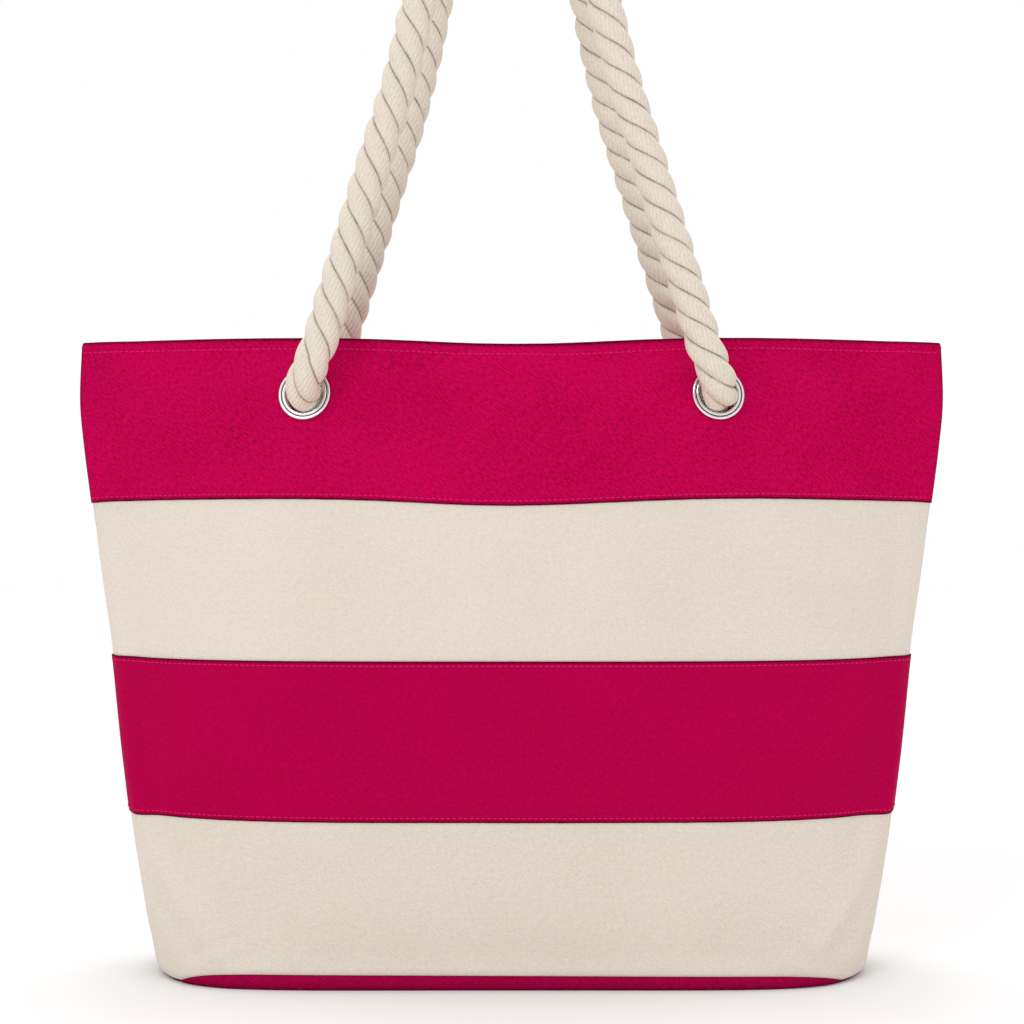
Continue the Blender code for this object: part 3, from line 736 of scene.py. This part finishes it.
# Painted shade: darker in the seam, and where the edge meets the floor.
painted_base_shade = np.exp(-(((np.arange(len(rings)) - SEAM_RING) / 0.8) ** 2))[:, None]
painted_floor_shade = 0.55 * np.exp(-((base_points[..., 2] / (2.6 * MM)) ** 2))
painted_base_shade = np.maximum(painted_base_shade, painted_floor_shade)
base = grid_object(
    "base_panel_cloth",
    base_points,
    uv,
    BASE_PINK,
    closed_columns=True,
    poles=True,
    flip=True,
    shade=painted_base_shade,
)
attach(base, "bag")
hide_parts("base_panel")

# %% [markdown]
# ## Stitching
# The topstitching is sewn in thread a little lighter than the cloth, so it shows as a fine
# dotted line: one row under the mouth, and one just inside each lapped edge.
# Every stitch is a small capsule, and a whole row is one array of them.

# %% Stitch rows
STITCH_PITCH, STITCH_LENGTH, THREAD_RADIUS = 3.2 * MM, 2.3 * MM, 0.36 * MM
FACES_PER_STITCH = 40  # six rings of six, and two to close each end
# Spun thread is nearly matt, with a grain of about 0.4 mm from its twist.
THREAD, tree, shader = new_material("spun_polyester_thread_pink")
shader.inputs["Base Color"].default_value = linear("#D81F66")
shader.inputs["Roughness"].default_value = 0.7
shader.inputs["Specular IOR Level"].default_value = 0.08
twist_place = add(tree, "ShaderNodeTexCoord").outputs["Object"]
twist = add(tree, "ShaderNodeTexNoise", Vector=twist_place, Scale=2600.0, Detail=1.0).outputs[0]
twist_bump = add(tree, "ShaderNodeBump", Height=twist, Strength=0.5, Distance=0.05 * MM)
tree.links.new(twist_bump.outputs[0], shader.inputs["Normal"])


def capsules(name, centers, directions, normals, finish):
    """One capsule per stitch: a six-sided tube whose radius follows a half ellipse from end to end."""
    stations = np.linspace(-1, 1, 7)
    radius = np.sqrt(1 - (stations * 0.97) ** 2) ** 0.7
    angle = np.arange(6) * math.pi / 3
    along = (stations * STITCH_LENGTH / 2)[:, None] * np.ones(6)
    out = radius[:, None] * np.cos(angle) * THREAD_RADIUS
    over = radius[:, None] * np.sin(angle) * THREAD_RADIUS * 0.8
    beside = np.cross(normals, directions)
    frames = np.stack([directions, beside, normals], axis=1)
    local = np.stack([along, out, over], axis=-1)
    points = np.einsum("rsk,nkc->nrsc", local, frames) + centers[:, None, None, :]
    count = len(centers)
    i, j = np.meshgrid(np.arange(6), np.arange(6), indexing="ij")
    quads = np.stack([i * 6 + j, i * 6 + (j + 1) % 6, (i + 1) * 6 + (j + 1) % 6, (i + 1) * 6 + j], axis=-1)
    # Two four-sided faces close the ring of six points at each end.
    caps = np.array([[5, 4, 3, 2], [5, 2, 1, 0], [36, 37, 38, 39], [36, 39, 40, 41]])
    quads = np.concatenate([quads.reshape(-1, 4), caps])
    faces = (quads[None] + (np.arange(count) * 42)[:, None, None]).reshape(-1, 4)
    mesh = bpy.data.meshes.new(name)
    mesh.from_pydata(points.reshape(-1, 3).tolist(), [], faces.tolist())
    mesh.shade_smooth()
    mesh.materials.append(finish)
    obj = bpy.data.objects.new(name, mesh)
    bpy.context.scene.collection.objects.link(obj)
    return obj


def along_path(points, normals, pitch):
    """Points, directions and normals every pitch along a line, by linear interpolation of its length."""
    length = np.concatenate([[0], np.cumsum(np.linalg.norm(np.diff(points, axis=0), axis=1))])
    at = np.arange(pitch, length[-1] - pitch, pitch)
    centers = np.stack([np.interp(at, length, points[:, k]) for k in range(3)], axis=1)
    ahead = np.stack([np.interp(at + pitch / 4, length, points[:, k]) for k in range(3)], axis=1)
    facing = np.stack([np.interp(at, length, normals[:, k]) for k in range(3)], axis=1)
    direction = ahead - centers
    direction /= np.linalg.norm(direction, axis=1, keepdims=True)
    facing -= direction * (facing * direction).sum(1, keepdims=True)
    return centers, direction, facing / np.linalg.norm(facing, axis=1, keepdims=True)


def stitch_row(name, height, side, depth, finish, limit=0.985):
    """A row of stitches along a panel at one height, from near one side seam to near the other."""
    across = np.linspace(-limit, limit, 900)
    points, normals = cloth(across, np.full_like(across, height), side, depth)
    row = capsules(name, *along_path(points, normals, STITCH_PITCH), finish)
    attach(row, "bag")
    return row


ON_PINK = -CANVAS_THICK - 0.10 * MM
for word, side in SIDES:
    rows = (
        ("mouth", MOUTH - 5.5 * MM),
        ("top_band", TOP_SEAM + 2.2 * MM),
        ("middle_band_upper", MIDDLE_SEAM - 2.2 * MM),
        ("middle_band_lower", LOWER_SEAM + 2.2 * MM),
    )
    for part, height in rows:
        row = stitch_row(f"{word}_{part}_stitches", height, side, ON_PINK, THREAD)
print("stitches per row:", len(row.data.polygons) // FACES_PER_STITCH)

# %% [markdown]
# ## Rope
# Three-strand cotton rope is laid: three fat strands wind round each other one way, and
# the yarns in each strand wind the other way, so they end up nearly in line with the rope.
# A strand's middle line is a helix about the rope's path, and the strand is a round tube
# about that helix. The yarns are a pattern on the strand's own UV map.

# %% Rope material
ROPE_RADIUS = 10 * MM
LEAD = 48 * MM
STRAND_PATH_RADIUS = 4.2 * MM
STRAND_RADIUS = 6.0 * MM
CREASE_WIDTH = 0.5 * MM
YARN_WIDTH = 1.6  # millimetres across one yarn on the strand's surface
YARN_SLANT = -1.7  # how far a yarn moves round the strand for each millimetre along it


def cotton_rope(name, color, shade):
    """Loosely spun yarns: slanted ridges on the strand with painted shade between them, painted shade in the
    creases, and fine fuzz.
    """
    made, tree, shader = new_material(name)
    uv = add(tree, "ShaderNodeUVMap", {"uv_map": "cloth"}).outputs[0]
    axes = add(tree, "ShaderNodeSeparateXYZ", Vector=uv)
    # The yarns wander over about 5 mm, and single fibres are drawn about 0.6 mm wide and 2.5 mm long.
    wander = add(tree, "ShaderNodeTexNoise", Vector=uv, Scale=220.0, Detail=2.0).outputs[0]
    turns = 2 * math.pi / (YARN_WIDTH * MM) / math.hypot(1, YARN_SLANT)
    slant = add(tree, MATH, MULTIPLY_ADD, _0=axes.outputs[1], _1=YARN_SLANT, _2=axes.outputs[0]).outputs[0]
    phase = add(tree, MATH, MULTIPLY, _0=slant, _1=turns).outputs[0]
    phase = add(tree, MATH, MULTIPLY_ADD, _0=wander, _1=5.0, _2=phase).outputs[0]
    wave = add(tree, MATH, {"operation": "SINE"}, _0=phase).outputs[0]
    ridge = add(tree, MATH, MULTIPLY_ADD, _0=wave, _1=0.5, _2=0.5).outputs[0]
    lean = (0, 0, -math.atan(YARN_SLANT))
    fibre_turn = add(tree, "ShaderNodeMapping", Vector=uv, Rotation=lean).outputs[0]
    fibre_place = add(tree, "ShaderNodeMapping", Vector=fibre_turn, Scale=(1800, 400, 1)).outputs[0]
    fibre = add(tree, "ShaderNodeTexNoise", Vector=fibre_place, Scale=1.0, Detail=3.0).outputs[0]
    # The colour is darker between the yarns: painted shade of their ridges.
    tone = add(tree, MATH, MULTIPLY, _0=ridge, _1=0.2).outputs[0]
    tone = add(tree, MATH, CLAMPED, _0=fibre, _1=1.15, _2=tone).outputs[0]
    # The painted shade in the creases goes towards a brown grey, its strength varying at random with the
    # yarns' wander.
    crease_shade_strength = add(tree, MATH, {"operation": "MULTIPLY", "use_clamp": True}, _0=wander, _1=1.6).outputs[0]
    mixed = add(tree, "ShaderNodeMix", {"data_type": "RGBA"}, _0=tone, _6=linear(shade), _7=linear(color))
    tree.links.new(darkened(tree, mixed.outputs[2], crease_shade_strength, "#5A4636"), shader.inputs["Base Color"])
    rise = add(tree, MATH, MULTIPLY_ADD, _0=fibre, _1=0.9, _2=ridge).outputs[0]
    bump = add(tree, "ShaderNodeBump", Height=rise, Strength=0.8, Distance=0.35 * MM)
    tree.links.new(bump.outputs[0], shader.inputs["Normal"])
    shader.inputs["Roughness"].default_value = 0.9
    shader.inputs["Specular IOR Level"].default_value = 0.05
    shader.inputs["Sheen Weight"].default_value = 0.08
    shader.inputs["Sheen Roughness"].default_value = 0.6
    return made


ROPE = cotton_rope("three_strand_cotton_rope", "#F2E8DA", "#C8BAA6")

# %% [markdown]
# The rope's route is a short list of given points: out of the eyelet, up the leg and
# round the arch. A smooth curve runs through them, and a frame that never twists is carried
# along it, so the lay of the strands stays even round the bends.


# %% Paths and strands
def smooth_route(points, spacing):
    """Evenly spaced points on a Catmull-Rom curve: each stretch is a cubic through its four neighbours."""
    points = np.array(points, float)
    ends = np.concatenate([[2 * points[0] - points[1]], points, [2 * points[-1] - points[-2]]])
    t = (np.arange(24) / 24)[None, :, None]
    a, b, c, d = (ends[k : len(ends) - 3 + k][:, None] for k in range(4))
    fine = 0.5 * (2 * b + (c - a) * t + (2 * a - 5 * b + 4 * c - d) * t**2 + (3 * b - a - 3 * c + d) * t**3)
    fine = np.concatenate([fine.reshape(-1, 3), points[-1:]])
    along = np.concatenate([[0], np.cumsum(np.linalg.norm(np.diff(fine, axis=0), axis=1))])
    at = np.linspace(0, along[-1], max(2, round(along[-1] / spacing) + 1))
    return np.stack([np.interp(at, along, fine[:, k]) for k in range(3)], axis=1)


def carried_frames(path, first=(0.0, 1.0, 0.0)):
    """Tangents, and two normals that are carried along the path without turning about it."""
    tangent = np.gradient(path, axis=0)
    tangent /= np.linalg.norm(tangent, axis=1, keepdims=True)
    normal = np.empty_like(path)
    current = np.array(first, float)
    for k, direction in enumerate(tangent):
        current = current - direction * (current @ direction)
        current /= np.linalg.norm(current)
        normal[k] = current
    return tangent, normal, np.cross(tangent, normal)


NEIGHBOUR_STEPS = 12  # how many steps of the path a neighbour's nearest point can be away


def creases(tube, others):
    """Painted shade of the creases between strands: 1 where a strand's surface meets a neighbour's, falling
    off within a millimetre: exp(-(gap / width) squared), the gap being the distance to a neighbour's middle
    line less the strand's radius."""
    nearest = np.full(tube.shape[:2], np.inf)
    for other in others:
        for shift in range(-NEIGHBOUR_STEPS, NEIGHBOUR_STEPS + 1):
            moved = np.roll(other, shift, axis=0)[:, None]
            nearest = np.minimum(nearest, np.linalg.norm(tube - moved, axis=-1))
    gap = np.clip(nearest - STRAND_RADIUS, 0, None)
    return np.exp(-((gap / CREASE_WIDTH) ** 2))


def laid_rope(name, path, squeeze=1.0, start_turn=0.0, around=44):
    """Three tubes about helices round the path. A left-handed lay: the strands lean like a backslash.
    squeeze scales the whole rope's thickness, and may be an array along the path."""
    tangent, normal, second = carried_frames(path)
    length = np.concatenate([[0], np.cumsum(np.linalg.norm(np.diff(path, axis=0), axis=1))])
    squeeze = np.broadcast_to(np.asarray(squeeze, float), length.shape)
    tubes, maps, middles = [], [], []
    theta = np.arange(around) / around * 2 * math.pi
    for strand in range(3):
        turn = -2 * math.pi * length / LEAD + strand * 2 * math.pi / 3 + start_turn
        offset = np.cos(turn)[:, None] * normal + np.sin(turn)[:, None] * second
        middle = path + offset * (STRAND_PATH_RADIUS * squeeze)[:, None]
        along = np.gradient(middle, axis=0)
        along /= np.linalg.norm(along, axis=1, keepdims=True)
        out = offset - along * (offset * along).sum(1, keepdims=True)
        out /= np.linalg.norm(out, axis=1, keepdims=True)
        beside = np.cross(along, out)
        # Two ripples of one or two per cent make the strand uneven, as hand-laid cotton is.
        lumps = 1 + 0.018 * np.sin(length[:, None] / (7.3 * MM) + 2 * theta + strand * 2.1)
        lumps = lumps + 0.012 * np.sin(length[:, None] / (3.1 * MM) - 3 * theta + strand)
        radius = STRAND_RADIUS * squeeze[:, None] * lumps
        ring = np.cos(theta)[None, :, None] * out[:, None] + np.sin(theta)[None, :, None] * beside[:, None]
        tubes.append(middle[:, None] + ring * radius[..., None])
        middles.append(middle)
        lay = np.concatenate([[0], np.cumsum(np.linalg.norm(np.diff(middle, axis=0), axis=1))])
        u = np.arange(around + 1) / around * 2 * math.pi * STRAND_RADIUS
        maps.append(np.stack(np.broadcast_arrays(u[None, :], lay[:, None]), axis=-1) + strand * 0.037)
    shades = [creases(tubes[k], [middles[k - 1], middles[k - 2]]) for k in range(3)]
    strands = [
        grid_object(f"{name}_{k}", tube, uv, ROPE, closed_columns=True, poles=True, shade=crease)
        for k, (tube, uv, crease) in enumerate(zip(tubes, maps, shades))
    ]
    with bpy.context.temp_override(active_object=strands[0], selected_editable_objects=strands):
        bpy.ops.object.join()
    strands[0].name = name
    strands[0].data.name = name
    return strands[0]


# %% [markdown]
# ## Where the rope meets the bag
# The eyelet's middle lies on the form, and its axis is the form's own normal there, which
# leans up a little because the panel leans back. The rope leaves along that axis and
# bends up at once, so thick soft rope fills the eyelet and hides the top of the ring.

# %% Eyelet places
LEG_Y = 57 * MM  # each handle stands upright in this plane


def eyelet_frame(side, hand):
    """Middle and outward direction of an eyelet, from the form at its place."""
    width = float(station(np.array(EYELET_HEIGHT))[0])
    across = np.array(2 / math.pi * math.asin(hand * EYELET_X / width))
    height = np.array(EYELET_HEIGHT)
    step = 1e-3
    along = form(across + step, height, side) - form(across - step, height, side)
    up = form(across, height + step, side) - form(across, height - step, side)
    normal = np.cross(along, up) * -side
    return form(across, height, side), normal / np.linalg.norm(normal)


# Each leg, then half of the arch: x from the middle, and height.
HANDLE_ROUTE_MM = ((105.8, 357), (91.5, 404), (76, 455), (62, 500))
HANDLE_ROUTE_MM += ((51.5, 543), (44, 578), (30, 605), (11, 619))
# The bend just outside an eyelet: x, distance from the middle plane, and height.
ELBOW_MM = ((114.6, 51.2, 336.2), (110.6, 56.0, 345.6))


def handle_route(side):
    """From inside one eyelet, round the handle, to inside the other."""
    legs = []
    for hand in (-1, 1):
        middle, out = eyelet_frame(side, hand)
        inside = [middle - out * 14 * MM, middle - out * 5 * MM, middle + out * 5 * MM]
        bend = [np.array([hand * x, side * y, z]) * MM for x, y, z in ELBOW_MM]
        leg = [np.array([hand * x * MM, side * LEG_Y, z * MM]) for x, z in HANDLE_ROUTE_MM]
        legs.append([*inside, *bend, *leg])
    return np.array(legs[0] + legs[1][::-1])


# %% Two handles
ROPE_STEP = 1.5 * MM
handles = {}
for word, side in SIDES:
    path = smooth_route(handle_route(side), ROPE_STEP)
    length = float(np.linalg.norm(np.diff(path, axis=0), axis=1).sum())
    rope = laid_rope(f"{word}_rope", path, start_turn=0.4 if side < 0 else 2.2)
    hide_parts(f"{word}_rope_handle")
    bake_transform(rope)
    handles[word] = (rope, path, length)
    print(word, "rope length, m:", round(length, 4), "faces:", len(rope.data.polygons))

# %% [markdown]
# ## Eyelets
# An eyelet is pressed from plated brass: a domed ring in front whose barrel goes through
# the cloth and is rolled over a washer behind. A fine profile turned about the axis gives
# the bright and dark lines that the eye knows from polished metal.

# %% Plated metal
# Nickel plate is bright and nearly mirror-smooth, with faint scuffs about 1 mm across.
METAL, tree, shader = new_material("polished_nickel_plate")
scuff_place = add(tree, "ShaderNodeTexCoord").outputs["Object"]
scuff = add(tree, "ShaderNodeTexNoise", Vector=scuff_place, Scale=900.0, Detail=3.0).outputs[0]
plate_colors = {"_6": linear("#E6E6E8"), "_7": linear("#F8F8F9")}
plate = add(tree, "ShaderNodeMix", {"data_type": "RGBA"}, _0=scuff, **plate_colors)
tree.links.new(darkened(tree, plate.outputs[2], 1.0, "#302E2E"), shader.inputs["Base Color"])
gloss = add(tree, "ShaderNodeMapRange", _0=scuff, _1=0.3, _2=0.8, _3=0.06, _4=0.16).outputs[0]
tree.links.new(gloss, shader.inputs["Roughness"])
shader.inputs["Metallic"].default_value = 1.0


# %% Turned pieces
def turned(name, profile_mm, middle, axis, finish, steps=96, shade=None):
    """A profile of (radius, height) in millimetres carried round an axis. A shade is given point by point.
    A profile that starts off the axis is a closed loop, as of a ring."""
    axis = np.array(axis, float) / np.linalg.norm(axis)
    aside = np.cross(axis, [0.0, 0.0, 1.0] if abs(axis[2]) < 0.9 else [1.0, 0.0, 0.0])
    aside /= np.linalg.norm(aside)
    third = np.cross(axis, aside)
    profile = np.array(profile_mm, float) * MM
    angle = np.arange(steps) / steps * 2 * math.pi
    ring = np.cos(angle)[:, None] * aside + np.sin(angle)[:, None] * third
    points = middle + profile[:, None, :1] * ring[None] + profile[:, None, 1:] * axis
    around = np.arange(steps + 1) / steps * 2 * math.pi * profile[:, :1].max()
    down = np.concatenate([[0], np.cumsum(np.linalg.norm(np.diff(profile, axis=0), axis=1))])
    closed = profile[0, 0] > 1e-6
    if closed:
        down = np.concatenate([down, [down[-1] + MM]])
    uv = np.stack(np.broadcast_arrays(around[None, :], down[:, None]), axis=-1)
    dark = None if shade is None else np.array(shade, float)[:, None]
    ends = {"closed_rows": closed, "closed_columns": True, "poles": not closed}
    return grid_object(name, points, uv, finish, flip=True, shade=dark, **ends)


def arc(centre, radius, start, stop, count):
    """Points of a profile on an arc, angles in degrees from the outward radius."""
    angle = np.radians(np.linspace(start, stop, count))
    return [(centre[0] + radius[0] * math.cos(a), centre[1] + radius[1] * math.sin(a)) for a in angle]


GROOVE_RADIUS = 13.1
EYELET_PROFILE = [
    (11.0, -5.0),
    *arc((12.1, 0.9), (1.1, 1.0), 180, 20, 12),
    (GROOVE_RADIUS, 0.75),
    *arc((14.1, 0.95), (0.95, 0.85), 160, -40, 11),
    (14.6, 0.3),
    (12.0, 0.3),
    (12.0, -4.6),
    *arc((12.7, -4.9), (0.8, 0.7), 90, -90, 8),
    (11.6, -5.7),
]
EYELET_SHADE = [math.exp(-(((r - GROOVE_RADIUS) / 0.28) ** 2)) * (h > 0.5) for r, h in EYELET_PROFILE]
WASHER_PROFILE = [*arc((15.2, -4.25), (0.6, 0.4), 90, -90, 7), (12.3, -4.65), (12.3, -3.85)]
for word, side in SIDES:
    for hand_word, hand in HANDS:
        middle, out = eyelet_frame(side, hand)
        lift = middle + out * 0.3 * MM
        ring = turned(f"{word}_{hand_word}_eyelet_ring", EYELET_PROFILE, lift, out, METAL, shade=EYELET_SHADE)
        washer = turned(f"{word}_{hand_word}_washer_ring", WASHER_PROFILE, lift, out, METAL)
        for obj, node in ((ring, "eyelet"), (washer, "eyelet_washer")):
            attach(obj, "bag")
            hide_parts(f"{word}_{hand_word}_{node}")

# %% [markdown]
# ## Knots
# Inside the bag each rope end is stopped by an overhand knot pulled up under the eyelet.
# The knot follows its own short route: down from the eyelet, once round itself and out
# at the bottom as a tail, whose end is whipped with thread so that the strands stay laid.

# %% Knots and whippings
# The wax gives the thread a soft gloss, and it is uneven over less than a millimetre.
WHIPPING, tree, shader = new_material("waxed_cotton_thread")
shader.inputs["Base Color"].default_value = linear("#E9DFCB")
shader.inputs["Roughness"].default_value = 0.5
wax_place = add(tree, "ShaderNodeTexCoord").outputs["Object"]
wax = add(tree, "ShaderNodeTexNoise", Vector=wax_place, Scale=1500.0, Detail=2.0).outputs[0]
wax_bump = add(tree, "ShaderNodeBump", Height=wax, Strength=0.4, Distance=0.05 * MM)
tree.links.new(wax_bump.outputs[0], shader.inputs["Normal"])
# Route of the front right knot about its middle: x to the right, y into the bag, z up, in millimetres.
KNOT_MM = ((1, 2, 20), (6, 3, 10), (9, -4, -1), (2, -7, -9), (-8, -3, -6), (-9, 4, 3), (-1, 7, 9), (8, 3, 6))
KNOT_MM += ((9, -4, -4), (3, -3, -14), (0, 0, -24), (0, 0, -43))
KNOT_MIDDLE = (115, 20.5, 295)
KNOT_SQUEEZE = 0.84
TAIL_RADIUS = ROPE_RADIUS / MM * KNOT_SQUEEZE
knots = {"front": [], "back": []}
for word, side in SIDES:
    for hand_word, hand in HANDS:
        middle, out = eyelet_frame(side, hand)
        centre = np.array([hand * KNOT_MIDDLE[0], side * KNOT_MIDDLE[1], KNOT_MIDDLE[2]]) * MM
        turns = np.array(KNOT_MM) * MM * np.array([hand, -side, 1]) + centre
        route = np.concatenate([[middle - out * 9 * MM, middle - out * 17 * MM], turns])
        path = smooth_route(route, 2 * MM)
        knot = laid_rope(f"{word}_{hand_word}_rope_knot", path, squeeze=KNOT_SQUEEZE, around=22)
        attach(knot, "bag")
        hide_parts(f"{word}_{hand_word}_knot")
        # Twelve turns of thread, one to each millimetre: a rounded ridge for each, on the tail's radius.
        heights = np.linspace(12, 0, 97)
        wound = [(TAIL_RADIUS + 0.35 + 0.35 * abs(math.sin(math.pi * h)), h) for h in heights]
        tail = path[-1] + np.array([0, 0, 4 * MM])
        profile = [(TAIL_RADIUS - 0.3, 12), *wound, (TAIL_RADIUS - 0.3, 0)]
        whipping = turned(f"{word}_{hand_word}_whipping", profile, tail, (0, 0, 1), WHIPPING, 36)
        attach(whipping, "bag")
        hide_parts(f"{word}_{hand_word}_rope_whipping")
        knots[word] += [knot, whipping]

for word in handles:
    rope, path, length = handles[word]

# %% [markdown]
# ## Holes for the eyelets
# The eyelets need round holes through the top bands and the facings. A Boolean with a
# cylinder along each eyelet's axis is the plain way to cut them, and it is applied at once.


# %% Punch the holes
def punch(obj, middle, out, radius):
    """Cuts a round hole with a cylinder along an axis, and applies the cut."""
    bpy.ops.mesh.primitive_cylinder_add(vertices=64, radius=radius, depth=20 * MM)
    drill = bpy.context.object
    turn = Vector(out).to_track_quat("Z", "Y").to_matrix().to_4x4()
    drill.matrix_world = Matrix.Translation(Vector(middle)) @ turn
    bpy.context.view_layer.update()
    change = obj.modifiers.new("hole", "BOOLEAN")
    change.operation = "DIFFERENCE"
    change.solver = "EXACT"
    change.object = drill
    graph = bpy.context.evaluated_depsgraph_get()
    mesh = bpy.data.meshes.new_from_object(obj.evaluated_get(graph))
    obj.modifiers.clear()
    obj.data = mesh
    bpy.data.objects.remove(drill, do_unlink=True)


HOLE_RADIUS = 12.3 * MM
for word, side in SIDES:
    for _, hand in HANDS:
        middle, out = eyelet_frame(side, hand)
        punch(pieces[f"{word}_top_band"], middle, out, HOLE_RADIUS)
        punch(bpy.data.objects[f"{word}_facing_cloth"], middle, out, HOLE_RADIUS)

# %% [markdown]
# ## The pieces that keep their CAD shape
# The snap, its plates, the stiffening board and the lining over it have plain, exact shapes, so
# their CAD nodes stay and only get a better finish: plated metal, pressed board and plain cotton.


# %% Finishes for the CAD nodes
def flecked(name, dark, light, scale, detail, roughness):
    """A matt finish whose colour goes between two tones with a noise of so many flecks to the metre."""
    made, tree, shader = new_material(name)
    place = add(tree, "ShaderNodeTexCoord").outputs["Object"]
    flecks = add(tree, "ShaderNodeTexNoise", Vector=place, Scale=scale, Detail=detail).outputs[0]
    mixed = add(tree, "ShaderNodeMix", {"data_type": "RGBA"}, _0=flecks, _6=linear(dark), _7=linear(light))
    tree.links.new(mixed.outputs[2], shader.inputs["Base Color"])
    shader.inputs["Roughness"].default_value = roughness
    return made


# Pressed board shows short fibres about 1.4 mm long, and the base lining threads about 0.8 mm apart.
BOARD = flecked("pressed_fibre_board", "#8F8471", "#B3A78F", 700.0, 4.0, 0.85)
LINING_PLAIN = flecked("natural_cotton_base_lining", "#D6CCBA", "#EAE2D4", 1300.0, 2.0, 0.9)
finishes = {
    "base_board": BOARD,
    "base_lining": LINING_PLAIN,
    "snap_socket": METAL,
    "snap_stud": METAL,
    "snap_socket_plate": METAL,
    "snap_stud_plate": METAL,
}
for node, finish in finishes.items():
    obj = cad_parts[node]
    obj.data.materials.clear()
    obj.data.materials.append(finish)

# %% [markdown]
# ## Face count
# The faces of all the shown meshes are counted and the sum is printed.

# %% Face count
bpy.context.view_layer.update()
faces = sum(len(p.data.polygons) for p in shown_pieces() if p.type == "MESH")
print("faces in all:", faces)
